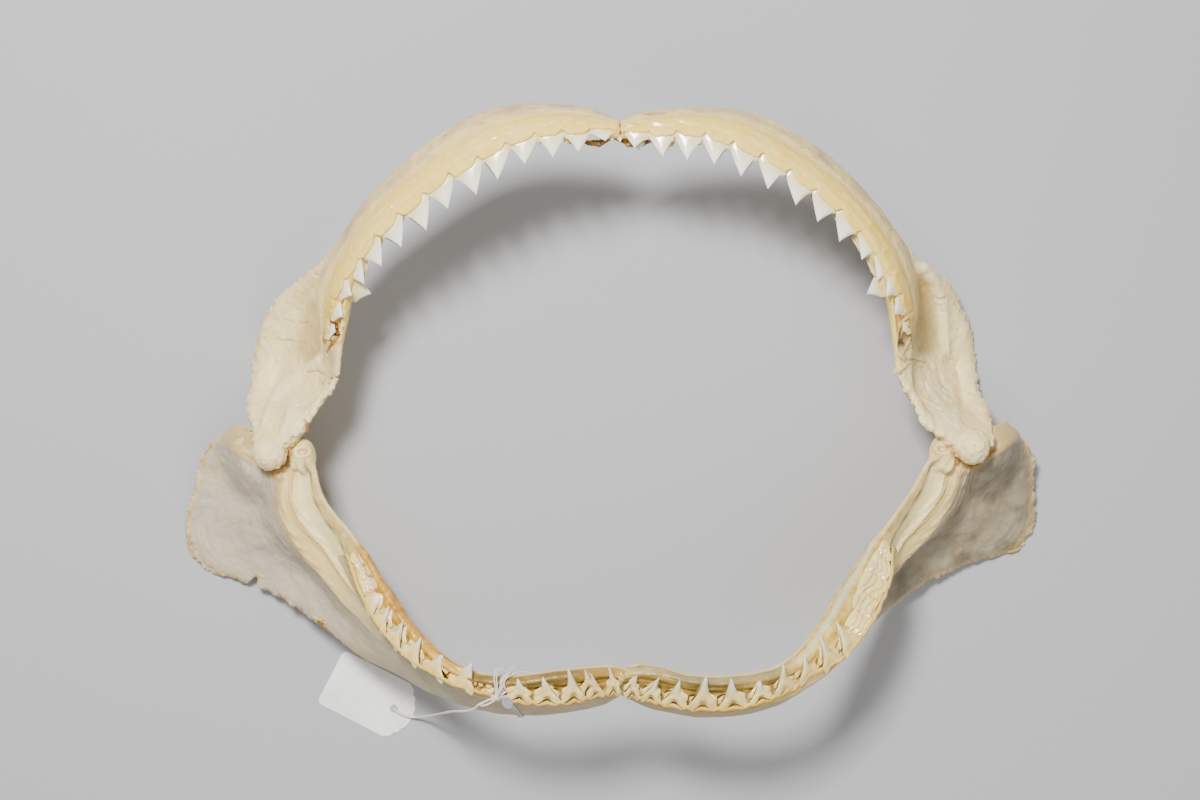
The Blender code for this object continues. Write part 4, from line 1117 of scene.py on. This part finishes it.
# How far up a tooth the gum reaches, across its share of the jaw.
GUM_EDGE = ([0, 0.1, 0.2, 0.35, 0.5, 0.65, 0.8, 0.9, 1], [0.4, -1.4, -2.6, -1.4, 0.6, -1.4, -2.6, -1.4, 0.4])


def behind_front(s):
    """0 at the front teeth, and 1 from the fifth or so back."""
    return rise(s, 3.6, 5)


def lower_tilt(s):
    """How steeply the lower teeth stand, as tooth_frame takes it."""
    return 0.6 + 0.24 * (1 - behind_front(s))


def lower_root(name, s, inward=0.0):
    """Where the roots of the lower teeth leave the gum, or a place further across the trough."""
    s = np.asarray(s, float)
    u = np.minimum(spline(GUM_RIDGE[name], s)[..., 0] + 0.12 - 0.1 * rise(s, 4.5, 6) + inward, 0.97)
    proud = 0.7 * (1 - rise(s, 3.2, 4)) + (2.3 * bell(s, 4.75, 0.7) if name == "lower_right" else 0)
    return mandible_at(name, s, u, 0.6 + proud)


def cusp_outline(width, height, tip, s):
    """A lower tooth's two edges: wide lobes, then a narrow cusp; at the back a low block."""
    reach = [-1, 0, 0.06, 0.13, 0.2, 0.3, 0.42, 0.6, 0.8, 0.94, 1]
    cusp = np.array([0.42, 0.49, 0.50, 0.46, 0.34, 0.23, 0.17, 0.12, 0.075, 0.035, 0.012])
    block = np.array([0.44, 0.47, 0.48, 0.48, 0.48, 0.47, 0.45, 0.40, 0.28, 0.14, 0.05])
    shape = cusp + (block - cusp) * rise(s, 7.0, 8.3)

    def outline(h):
        half_width = width * np.interp(h / height, reach, shape)
        drift = tip * np.clip(h / height, 0, 1) ** 1.5
        return drift - half_width, drift + half_width
    return outline


def fluted(title, name, first, last, low, high, k):
    """A low block of closely ribbed rear teeth, ribs along the jaw, its ends and edges broken. k sets
    how its waves fall."""
    def place(x, y):
        v, side = around(2 * math.pi * y)
        ragged = 0.06 * np.sin(v * 23 + k * 2) + 0.05 * np.sin(v * 41 + k)
        s = first + (last - first) * (x + ragged * (2 * x - 1))
        at = spline(GUM_RIDGE[name], s)[:, 0] + 0.02
        bow = 0.006 * np.sin(3 * x + k)
        u = np.minimum(at + low + (high - low) * v + bow, 0.972)
        ends = (1 - np.abs(2 * x - 1) ** 5) * np.abs(side) ** 0.4
        ribs = 1.1 * np.abs(np.sin(math.pi * 4 * v + 0.8 * np.sin(5 * x + 2 * k))) ** 0.7
        top = (1.5 + ribs + 0.35 * np.sin(9 * x + 4 * v + k)) * ends
        return mandible_at(name, s, u, np.where(side > 0, top, -1.5))
    return rolled(title, 70, 90, place)


for name, row in LOWER_TEETH.items():
    half = HALVES[name]
    luck = np.random.default_rng(21 if name == "lower_right" else 22)
    front, behind = [], []
    for index, s, height, lean, base, width in shares(row, lambda s: lower_root(name, s)):
        if s > BLOCKS[name][0][0] or (name, index) == LOST_TOOTH:
            continue
        back = behind_front(s)
        frame_here = tooth_frame(half, s, lower_tilt(s))
        along, up, face = frame_here
        height *= 1 + 0.08 * (1 - back)
        lobed = (1 - 0.6 * rise(s, 3.6, 4.4)) * (1 - rise(s, 6.8, 8.0))
        piece = tooth(f"{name}_tooth_{index}", base, turned_back(frame_here, luck.uniform(-4, 5)),
                      cusp_outline(width - 0.4, height, lean, s), width, height, 1.2 + 2 * (1 - lobed),
                      LOBE_FACES, lobed)
        front.append((piece, base, up, height, 0))
        shift, size, angle, inward = luck.uniform(-0.8, 0.8), 0.6 - 0.15 * back, 8, 1.1 + 0.5 * back
        if (name, index) in TWIN:
            shift, size, angle, inward = TWIN[name, index]
            tall = height * size
        else:
            angle += luck.uniform(-3, 3)
            tall = min(max(height * size, 3.5), 6.0)
        place, tilted = base + up * 4.0 + along * shift - face * inward, turned_back(frame_here, angle)
        piece = tooth(f"{name}_behind_{index}", place, tilted,
                      cusp_outline(width - 0.8, tall, lean * size, s), width, tall, 1.2, (1.2, 2.0),
                      lobed, detail=(50, 24))
        behind.append((piece, place, tilted[1], tall, 0))
    for k, (first, last, low, high) in enumerate(BLOCKS[name]):
        middle = lower_root(name, (first + last) / 2, (low + high) / 2)
        _, up, _ = turned_back(tooth_frame(half, (first + last) / 2, 0.6), -60)
        block = fluted(f"{name}_block_{k}", name, first, last, low, high, k)
        front.append((block, middle - up * 1.4, up, 8.0, 0.9))
    if name == "lower_right":
        for k, (x, y, radius) in enumerate(RUBBLE):
            z = lower_root(name, 3.56 + (y + 134) * 0.01)[2] + 1.2 - 0.35 * (-131 - y)
            piece = lump(f"rubble_{k}", (x, y, z), (radius * 1.2, radius, radius), luck.uniform(0, 3))
            pushed(piece, lambda p: 0.5 * grain(p, 1.5, 2))
            front.append((piece, np.array((x, y, z - radius)), np.array([0, 0, 1.0]), 12.0, 0))
    teeth_of(name + "_teeth", front, enamel=0.72)
    teeth_of(name + "_teeth_behind", behind, enamel=0.6)


def near_to(points, places):
    """The distance from each point to the nearest of the places, in mm."""
    tree = tree_of(places)
    return np.array([tree.find(point)[2] for point in points.tolist()])


for name, row in LOWER_TEETH.items():
    half = HALVES[name]
    gum_lines = []  # where the gum meets the teeth, and a line lower down it

    def ring_at(s):
        base = lower_root(name, s)
        _, up, face = tooth_frame(half, s, lower_tilt(s))
        t, height = in_share(row, s)
        at = spline(GUM_RIDGE[name], s)[:, 0]
        edge = np.interp(t, *GUM_EDGE) * np.minimum(1, height / 11) * (1 - 0.8 * behind_front(s))
        edge = edge * (0.8 + 0.5 * grain(base, 8, 2)) + 0.45 * grain(base, 1.3, 2)

        def on_jaw(across, lift):
            return mandible_at(name, s, at + across * (0.12 - 0.1 * rise(s, 4.5, 6) + 0.12) - 0.12, lift)

        def on_tooth(up_by, out_by):
            return base + up * up_by[:, None] + face * (LOBE_FACES[0] + out_by)
        gum_lines.extend([on_tooth(edge, 0.0), on_tooth(edge * 0.2 - 3.2, 0.0)])
        return [on_jaw(-0.1, -1.6), on_jaw(0.05, -0.2), on_jaw(0.2, 0.35), on_jaw(0.5, 0.7),
                on_tooth(edge - 2.2, 0.1), on_tooth(edge - 1.0, 0.35), on_tooth(edge - 0.3, 0.2),
                on_tooth(edge, -0.15), on_tooth(edge - 0.2, -0.8), on_tooth(np.full(len(s), -2.0), -2.2)]

    def layers_at(p, deep):
        line, low = (near_to(p, places[::3]) for places in gum_lines)
        return [(CREST_STAIN, (1 - rise(line, 0.2, 0.9)) * (0.5 + 0.3 * grain(p, 4, 2))),
                (CREST_STAIN, (1 - rise(low, 1.2, 2.6)) * (0.6 + 0.3 * grain(p, 4, 2))),
                (AMBER, (1 - rise(low, 0.5, 1.3)) * (0.6 + 0.3 * grain(p, 5, 2))),
                # Amber in the gum's folds is painted shade.
                (AMBER, 0.4 * rise(deep, 0.05, 0.35)),
                (DULL_WHITE, rise(line, 2.8, 4.4) * 0.85)]
    lip(name + "_gum", (0.1, 9.4), ring_at, layers_at)

# ---- Dried tissue ---------------------------------------------------------------------------
# Brown glassy tissue has dried round the ball of each joint and in the seams at the front, and torn
# flakes and shreds of skin stand on the edges. Each is a strand rolled along a path, then wrinkled.
# Round a ball: (degrees, mm from its middle), starting outwards and going to the rear.
JOINT_WAY = [(24, 13.2), (6, 11.4), (-22, 10.8), (-48, 10.6), (-75, 10.6), (-100, 10.6), (-118, 10.8)]
JOINT_WIDTHS = [1.8, 2.3, 2.2, 1.8, 1.2, 0.7, 0.4]
RAY_TOP = 0.3  # metres above the floor, clear of the whole jaw
FRONT_TISSUE = [(-14, 135.4, 80), (-6, 133.8, 81), (2.5, 136.4, 81), (11, 133.6, 81), (23, 135.2, 80)]
# Small loose teeth at the upper front: base, height, width and lean.
SMALL_TEETH = [((0.6, 137.4, 88), 3.6, 4.4, 0.8), ((4.6, 137.6, 89), 4.4, 3.6, 0.3),
               ((14.5, 134.6, 84), 4.6, 5.2, -0.4)]
# Flakes: points in plan, half widths in mm, how thick for their width, height over what they lie on,
# and how far from cream to brown.
FLAKES = {
    "upper_right": [
        ([(-141.5, 47), (-138.2, 43.5), (-134.6, 41.4)], (0.9, 1.8, 0.1), 0.2, 0.5, 0.9),
        ([(-143, 36), (-139.6, 39), (-134.8, 42.6)], (1.2, 1.6, 0.1), 0.2, 0.7, 1.0),
        ([(-144.6, 30), (-141, 34.4), (-136.2, 38.4)], (0.3, 1.3, 0.1), 0.2, 0.8, 0.6),
        ([(-148.6, 39.5), (-147.4, 34), (-144.8, 29), (-143.8, 26.6)], (1.2, 1.7, 1.0, 0.1), 0.3, 0.5, 0.25),
        ([(-150.5, 16.8), (-146.5, 15.2), (-142.2, 14.6)], (0.4, 1.4, 0.2), 0.25, 0.5, 0.0),
        ([(-155.5, -4.5), (-153.5, -7.5), (-153.8, -11)], (0.7, 0.8, 0.1), 0.4, 0.2, 0.7),
    ],
    "upper_left": [
        ([(143.9, 18.4), (147.6, 22), (153.6, 25.4)], (0.1, 2.0, 0.8), 0.2, 0.6, 0.0),
        ([(151, 18.6), (156, 22), (163, 24)], (0.2, 1.7, 0.6), 0.2, 0.4, 0.0),
        ([(146, 29), (150, 27.4), (156.5, 28.2)], (0.4, 1.8, 0.3), 0.2, 0.6, 0.1),
        ([(174, 31), (180.6, 29), (185, 26)], (0.5, 1.6, 0.2), 0.25, 0.3, 0.0),
        ([(188, -3), (191.6, -9), (196, -13)], (0.6, 1.0, 0.3), 0.4, 0.2, 0.05),
    ],
    "lower_right": [
        ([(-191, -83.6), (-186.4, -87.2), (-182, -88.6)], (0.2, 1.1, 0.3), 0.3, 0.3, 0.3),
        ([(-153.5, -111), (-149.6, -112.6), (-147.4, -115.4)], (0.5, 1.0, 0.1), 0.3, 0.4, 0.8),
        ([(-156, -108), (-152.4, -109.6), (-149, -109.4)], (0.2, 0.8, 0.1), 0.3, 0.5, 0.2),
    ],
    "lower_left": [
        ([(12, -125.4), (15, -124), (19, -124.4)], (0.15, 0.3, 0.1), 0.8, 0.8, 0.3),
        ([(213, -76), (218, -74.6), (221, -72)], (0.3, 0.9, 0.1), 0.3, 0.3, 0.6),
    ],
}


def strand(name, path, radius, flat, columns, rows, uneven=0.0, twist=0.0, hint=(0.05, 0.1, 1)):
    """A tube along a smooth path in mm. radius is a number or its values along the path, flat its
    height over its width, and twist the turns of its two plies for each mm. hint is a direction that
    the path never takes."""
    path = np.asarray(path, float)
    last = len(path) - 1
    length = np.sum(step_lengths(path))

    def place(x, y):
        s = x * last
        ahead = unit(spline(path, np.minimum(s + 0.1, last)) - spline(path, np.maximum(s - 0.1, 0)))
        side = unit(np.cross(ahead, hint))
        top = np.cross(side, ahead)
        angle = 2 * math.pi * y
        r = np.interp(x, np.linspace(0, 1, np.size(radius)), np.ravel(radius))
        if twist:
            r = r * (0.78 + 0.3 * np.abs(np.cos(angle - 2 * math.pi * twist * length * x)))
        return spline(path, s) + (side * (r * np.cos(angle))[:, None]
                                  + top * (r * flat * np.sin(angle))[:, None])
    piece = rolled(name, columns, rows, place)
    if uneven:
        pushed(piece, lambda p: uneven * grain(p, 1.8, 3))
    return piece


def laid(places, pieces, lift):
    """Points at these places in plan, that far above the highest of the pieces there."""
    trees = [surface_of(piece) for piece in pieces]
    points = []
    for x, y in places:
        hits = [tree.ray_cast(Vector((x * MM, y * MM, RAY_TOP)), Vector((0, 0, -1)))[0] for tree in trees]
        heights = [hit.z / MM for hit in hits if hit is not None]
        points.append((x, y, max(heights) + lift if heights else None))
    known = [z for _, _, z in points if z is not None]
    return [(x, y, z if z is not None else float(np.mean(known))) for x, y, z in points]


def tissue(piece, brownness, stands_for=None):
    """Finishes a strand as dried tissue, from cream at brownness 0 to brown at 1, with a painted highlight on
    its ridges.
    """
    p = points_of(piece)
    spots, deep = grain(p, 3, 3), depth_in_folds(piece, 4)
    colours = layered(CREAM + (AMBER - CREAM) * min(1, brownness * 1.4),
                      (BROWN, brownness * rise(spots, -0.3, 0.5)),
                      # White on ridges is a painted highlight.
                      (WHITE_BONE, 0.5 * rise(-deep, 0.05, 0.3) * (1 - 0.6 * brownness)))
    paint(piece, colours, 0.12 + 0.1 * rise(spots, 0, 0.4), p)
    finish(piece, GUM, stands_for)


for where, (ball, process) in JOINTS.items():
    sign = 1 if where == "right" else -1
    way = [(ball[0] + sign * r * math.cos(math.radians(a)), ball[1] + r * math.sin(math.radians(a)))
           for a, r in JOINT_WAY]
    path = laid(way, [CARTILAGES["upper_" + where], CARTILAGES["lower_" + where]], -0.2)
    path = [(x, y, min(z, ball[2] - 1.5)) for x, y, z in path]
    piece = strand("joint_tissue_" + where, path, JOINT_WIDTHS, 0.8, 90, 24, 0.45)
    tissue(piece, 0.45, stands_for="joint_ligament_" + where)

seam = [(4.6, 144, 85), (4.9, 141, 89.5), (5.1, 137.5, 92.5)]
piece = strand("front_fold", FRONT_TISSUE, (0.5, 1.8, 0.9, 1.8, 0.5), 1.2, 90, 24, 0.6)
piece = joined("front_tissue", [piece, strand("front_seam", seam, (0.5, 0.8, 0.6), 0.9, 30, 12, 0.2)])
tissue(piece, 0.85, stands_for="upper_symphysis")
small = []
for index, (base, height, width, lean) in enumerate(SMALL_TEETH):
    base, up = np.array(base), unit(np.array([0.05 * index, -1, 0.1]))
    ahead, face = np.array([1.0, 0, 0]), unit(np.array([0, 0.1, 1]))
    piece = tooth(f"small_{index}", base, (ahead, up, face), broad_outline(width, width, height, lean),
                  width, height, 1.5, (0.8, 0.8), detail=(40, 20))
    small.append((piece, base, up, height, 0))
teeth_of("upper_front_small_teeth", small)
seam = [(5.6, -140.5, 87), (5.5, -136, 97), (5.5, -131, 103.5), (5.6, -127, 104)]
tissue(strand("lower_front_tissue", seam, (0.8, 1.3, 1.6, 1.2), 1.0, 50, 20, 0.4), 0.35,
       stands_for="lower_symphysis")
for name, rows in FLAKES.items():
    for index, (places, widths, flat, lift, brownness) in enumerate(rows):
        path = laid(places, [CARTILAGES[name]], lift)
        tissue(strand(f"{name}_flake_{index}", path, widths, flat, 36, 14, 0.25), brownness)

# ---- Tag ------------------------------------------------------------------------------------
# A white card tag with round corners at its far end, bitten corners at its tied end and a bare
# face, flat on the floor. It is rolled from its hole over the back, round the edge and in over the face.
TAG_LENGTH, TAG_WIDTH, TAG_THICK = 49.0, 32.0, 0.6
TAG_FAR_END, TAG_HOLE = np.array((-149.5, -142.5)), np.array((-115.5, -160.0))
TAG_HOLE_RADIUS, TAG_CORNER, TAG_BITE = 2.0, 3.0, 3.2
# Over the tag's back, round its edge and in over its face: how far out, and how high.
TAG_OUT = ([0, 0.03, 0.44, 0.47, 0.5, 0.53, 0.56, 0.97, 1.0], [0, 0.004, 0.99, 1, 1, 1, 0.99, 0.004, 0])
TAG_HIGH = ([0, 0.03, 0.44, 0.5, 0.56, 0.97, 1.0], [0.3, 0.04, 0, 0.3, TAG_THICK, 0.56, 0.3])


def tag_outline():
    """Half of the outline, from the far end to the tied end: round corner, two bites, round nose."""
    half, bite = TAG_WIDTH / 2, TAG_BITE
    nose = half - 7.0
    turn = np.linspace(0, math.pi / 2, 24)
    end = turn[::-1]
    return np.concatenate([
        [(0, 0)],
        np.column_stack([TAG_CORNER * (1 - np.cos(turn)), half - TAG_CORNER * (1 - np.sin(turn))]),
        [(TAG_LENGTH - 8.5, half)],
        np.column_stack([TAG_LENGTH - 8.5 + bite * np.sin(turn),
                         half - 1.0 - bite * (1 - np.cos(turn)) * 0.9]),
        np.column_stack([TAG_LENGTH - 5.0 + 2.4 * np.sin(turn), nose + 2.2 - 2.6 * (1 - np.cos(turn))]),
        np.column_stack([TAG_LENGTH - 2.2 + 2.2 * np.cos(end), (nose - 1.8) * np.sin(end)])])


def card_material():
    """Thin card: white with a faint grey mottle and short fibres, and a soft, slightly worn face."""
    made, tree, place = new_material("card", Specular_IOR_Level=0.35)
    cloud = noise_node(tree, place, 60, 4)
    fibres = noise_node(tree, stretch_node(tree, place, (900, 300, 900)), 1.0, 4, 0.7)
    colour = mix_node(tree, ramp_node(tree, cloud, 0.35, 0.7), shade(244, 243, 240), shade(228, 226, 221))
    colour = mix_node(tree, ramp_node(tree, fibres, 0.5, 0.8, 0, 0.25), colour, (0.72, 0.71, 0.69),
                      "MULTIPLY")
    wire(tree, Base_Color=colour, Roughness=ramp_node(tree, fibres, 0.3, 0.7, 0.62, 0.8),
         Normal=bump_node(tree, [(fibres, 0.7), (cloud, 0.5)], 0.00025, 0.6))
    return made


rim = tag_outline()
rim = np.concatenate([rim, (rim * [1, -1])[::-1]])
way = unit(TAG_HOLE - TAG_FAR_END)
hole = np.array([np.linalg.norm(TAG_HOLE - TAG_FAR_END), 0])
rim_at = np.concatenate([[0], np.cumsum(step_lengths(rim))])


def on_tag(x, y):
    """x runs round the outline; y goes out over the back, round the edge and in over the face."""
    edge = np.column_stack([np.interp(x * rim_at[-1], rim_at, rim[:, axis]) for axis in (0, 1)])
    inner = hole + unit(edge - hole) * TAG_HOLE_RADIUS
    flat = inner + (edge - inner) * np.interp(y, *TAG_OUT)[:, None]
    side = np.array([-way[1], way[0]])
    plan = TAG_FAR_END + flat[:, :1] * way + flat[:, 1:] * side
    return np.column_stack([plan, np.interp(y, *TAG_HIGH)])


TAG = finish(rolled("tag_card", 420, 60, on_tag), card_material(), "tag", sharp=40)

# ---- String and seal ------------------------------------------------------------------------
# Soft white two-ply cotton string: twice round the jaw, a knot with a narrow bow and frayed tails,
# and a run down to the tag, all rolled strands. A small grey metal seal lies beside the knot.
STRING_RADIUS, STRING_TWIST, STRING_FUZZ = 0.6, 0.35, 0.03  # mm, turns for each mm, mm
STRING_OFF_SKIN = 0.75  # mm from the skin to the middle of the string round the jaw
FRAYS = 44  # fine threads at the ends of the tails
KNOT = np.array((-56.2, -140.4, 103.6))
STRING_ROUTE = [
    (-62.5, -142.8, 102.8), (-64.7, -144.2, 100.4), (-67, -147, 93), (-71.2, -149.4, 84), (-75.4, -151, 74),
    (-80.5, -153.4, 58), (-85.7, -156.4, 42), (-91, -159.5, 26), (-96.8, -162.3, 12), (-102.2, -163.9, 4.5),
    (-107.8, -164.1, 2.0), (-111.6, -162.5, 1.9), (-114.4, -160.8, 2.3), (-115.5, -160, 0.8)]
STRING_STATION = 3.4  # where on the jaw it is tied
STRING_SLANT = 13.0  # mm that its turns drift to the front across the skin
SEAL_AT, SEAL_RADII = (-50.4, -142.8, 102.6), (2.6, 3.6, 0.55)
# The knot, as ways from its middle in mm: a narrow bow, three wraps, four tails and a loose thread.
BOW = [(0.5, 0.2, 0.4), (-2.4, -0.4, 1.2), (-5.2, -1.6, 1.0), (-6.9, -3.0, 0.0), (-6.6, -3.7, -0.4),
       (-4.4, -3.2, 0.2), (-1.8, -1.9, 0.6), (0.4, -0.4, 0.4)]
WRAPS = [[(-1.6, -1.2, -0.6), (-0.6, -0.2, 1.3), (0.9, 1.2, 1.1), (1.7, 1.6, -0.6)],
         [(1.5, -1.4, -0.6), (0.7, -0.3, 1.6), (-0.8, 0.9, 1.4), (-1.7, 1.2, -0.4)],
         [(-1.9, 0.3, -0.5), (-0.6, 0.9, 1.0), (1.2, 0.2, 1.3), (2.1, -0.7, -0.4)]]
TAILS = [[(0, 0, 0.6), (0.2, 5, 2.2), (-0.4, 10, 3.4), (0.2, 13.8, 3.6), (2.2, 15.0, 3.0)],
         [(0.4, 0, 0.4), (1.0, 5, 2.0), (0.7, 10, 3.0), (1.2, 13.4, 3.4), (3.8, 14.8, 2.8)],
         [(0.6, 0, 0.8), (2.2, 5, 2.4), (4.2, 10, 3.8), (7.0, 14.4, 4.0)],
         [(0.8, 0, 0.4), (3.0, 5, 2.0), (5.2, 10, 3.2), (8.2, 14.8, 3.4)]]
LOOSE = [(0.8, 0.4, 0.4), (3.2, 4.2, 1.6), (5.4, 9.8, 3.2), (9.8, 12.8, 3.6), (14.6, 13.4, 3.4),
         (19.4, 12.2, 2.4)]


def string_material():
    """Cotton: off-white, a little dirty, with fine fibres across the plies."""
    made, tree, place = new_material("cotton_string", Roughness=0.85, Sheen_Weight=0.4,
                                     Specular_IOR_Level=0.2)
    dirt, fine = noise_node(tree, place, 300, 4), noise_node(tree, place, 4200, 3)
    colour = mix_node(tree, ramp_node(tree, dirt, 0.35, 0.7), shade(236, 230, 222), shade(206, 194, 184))
    colour = mix_node(tree, ramp_node(tree, fine, 0.45, 0.75, 0, 0.4), colour, (0.6, 0.57, 0.54), "MULTIPLY")
    wire(tree, Base_Color=colour, Normal=bump_node(tree, [(fine, 1.0)], 0.0002, 0.8))
    return made


def seal_material():
    """Dull grey metal, faintly mottled and scratched."""
    made, tree, place = new_material("seal_metal", Metallic=0.25, Roughness=0.42)
    mottle = noise_node(tree, place, 500, 4)
    scratch = noise_node(tree, stretch_node(tree, place, (3000, 300, 300)), 1.0)
    colour = mix_node(tree, ramp_node(tree, mottle, 0.3, 0.7), shade(176, 172, 176), shade(146, 142, 148))
    wire(tree, Base_Color=colour, Roughness=ramp_node(tree, mottle, 0.3, 0.7, 0.35, 0.5),
         Normal=bump_node(tree, [(scratch, 0.6), (mottle, 0.5)], 0.0002, 0.5))
    return made


def pushed_out(points, pieces, gap):
    """Points moved to at least that far outside the nearest surface of the pieces."""
    moved = np.array(points, float)
    for tree in [surface_of(piece) for piece in pieces]:
        for index, point in enumerate(moved):
            near, normal, _, _ = tree.find_nearest(Vector(point * MM))
            if (Vector(point * MM) - near).dot(normal) < gap * MM:
                moved[index] = np.array(near + normal * gap * MM) / MM
    return moved


def turn_round_jaw(drift):
    """A taut turn of string: the convex hull of the section, slanting along the jaw across the skin."""
    half, s = HALVES["lower_right"], np.full(90, STRING_STATION)
    origin, _, along, across, out = half.axes(STRING_STATION)
    u, lift = mandible(GUM_RIDGE["lower_right"])(s, *around(np.linspace(0, 2 * math.pi, 90, endpoint=False)))
    ring = half.at(s, u, lift) - origin
    flat = sorted(zip((ring @ across).tolist(), (ring @ out).tolist()))

    def chain(points):
        kept = []
        for p in points:
            while len(kept) > 1 and ((kept[-1][0] - kept[-2][0]) * (p[1] - kept[-2][1])
                                     <= (kept[-1][1] - kept[-2][1]) * (p[0] - kept[-2][0])):
                kept.pop()
            kept.append(p)
        return kept[:-1]
    hull = np.array(chain(flat) + chain(flat[::-1]))
    hull = np.concatenate([hull, hull[:1]])
    far = np.concatenate([[0], np.cumsum(step_lengths(hull))])
    steps = np.linspace(0, far[-1], 40, endpoint=False)
    x, y = (np.interp(steps, far, hull[:, axis]) for axis in (0, 1))
    slant = drift - STRING_SLANT * (1 - x / x.max())
    path = origin + across * x[:, None] + out * y[:, None] + along * slant[:, None]
    path = pushed_out(path, [CARTILAGES["lower_right"], bpy.data.objects["lower_right_gum"]], STRING_OFF_SKIN)
    start = int(np.argmin(np.linalg.norm(path - KNOT, axis=1)))
    path = np.roll(path, -start, axis=0)
    return np.concatenate([[KNOT], path[1:], [KNOT]])


def twine(name, path, radius, columns, rows=14, **hint):
    """A length of the two-ply string."""
    return strand(name, path, radius, 1.0, columns, rows, STRING_FUZZ, STRING_TWIST, **hint)


string = twine("string_to_tag", STRING_ROUTE, STRING_RADIUS, 700, 16, hint=(0.3, 1, 0.2))
turns = [twine(f"turn_{k}", turn_round_jaw(k * 1.5 - 0.7), 0.5, 500, hint=(1, 0.2, 0.1)) for k in range(2)]
turns.append(twine("bow", KNOT + BOW, 0.48, 160))
turns += [twine(f"wrap_{k}", KNOT + wrap, 0.55, 60) for k, wrap in enumerate(WRAPS)]
turns += [twine(f"tail_{k}", KNOT + tail, (0.42, 0.40, 0.36, 0.30), 110, 12) for k, tail in enumerate(TAILS)]
turns.append(strand("loose", KNOT + LOOSE, (0.26, 0.22, 0.2, 0.16), 1.0, 120, 10, 0.02))
luck = np.random.default_rng(31)
for k in range(FRAYS):
    tail = KNOT + np.array(TAILS[k % 4][-1])
    reach = luck.normal(0, 0.9, 3) + np.array([(k % 4) * 0.3 - 0.2, 1.0, 0.2])
    bend = luck.normal(0, 0.5, 3)
    thread = [tail - reach * 0.5, tail + bend * 0.4, tail + reach + bend]
    turns.append(strand(f"fray_{k}", thread, 0.07, 1.0, 8, 5))
STRING = string_material()
loops = finish(joined("string_turns_and_knot", turns), STRING, "string_loop")

seal = lump("seal_disc", (0, 0, 0), SEAL_RADII)
p = points_of(seal)
p[:, 2] = np.clip(p[:, 2] * 2.2, -SEAL_RADII[2], SEAL_RADII[2]) + 0.05 * grain(p, 2, 2)
*_, out = HALVES["lower_right"].axes(3.2)
facing = unit(out + np.array([0, 0, 2.0]))
long_way = unit(np.cross(facing, np.cross(np.array([0.42, -1, 0]), facing)))
p = p @ np.array([np.cross(long_way, facing), long_way, facing]) + np.array(SEAL_AT)
move_points(seal, p)
finish(seal, seal_material(), "tag_seal")

finish(string, STRING, "tag_string")
run = spline(STRING_ROUTE, np.linspace(0, len(STRING_ROUTE) - 1, 100))
float(np.sum(step_lengths(run))) * MM

# ---- View -----------------------------------------------------------------------------------
# A pale table, a soft lamp above and to the upper left, a larger weak one, and the camera overhead.
FLOOR_SIZE, FLOOR_COLOUR = 6.0, (0.40, 0.40, 0.41, 1)
CAMERA_AT, CAMERA_LENS = (-0.005, 0.0055, 1.18), 66.0
ROOM_LIGHT = 0.32

bpy.ops.mesh.primitive_plane_add(size=FLOOR_SIZE)
floor = bpy.context.object
floor.name = "floor"
floor.data.materials.append(new_material("pale_table", Base_Color=FLOOR_COLOUR, Roughness=0.8)[0])
floor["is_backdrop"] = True


def lamp(name, at, size, power, towards=(0, 0, 0.05)):
    data = bpy.data.lights.new(name, "AREA")
    data.energy, data.size = power, size
    made = bpy.data.objects.new(name, data)
    bpy.context.scene.collection.objects.link(made)
    made.location = at
    made.rotation_euler = (Vector(towards) - Vector(at)).to_track_quat("-Z", "Y").to_euler()


lamp("key", (-0.28, 0.55, 1.4), 0.3, 44)
lamp("fill", (0.5, -0.7, 1.2), 1.2, 8)
world = bpy.data.worlds.new("soft_room")
world.use_nodes = True
background = world.node_tree.nodes["Background"]
background.inputs["Color"].default_value = (1, 1, 1, 1)
background.inputs["Strength"].default_value = ROOM_LIGHT
bpy.context.scene.world = world
camera = bpy.data.objects.new("camera", bpy.data.cameras.new("camera"))
camera.data.lens = CAMERA_LENS
camera.location = CAMERA_AT
bpy.context.scene.collection.objects.link(camera)
bpy.context.scene.camera = camera

low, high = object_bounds()
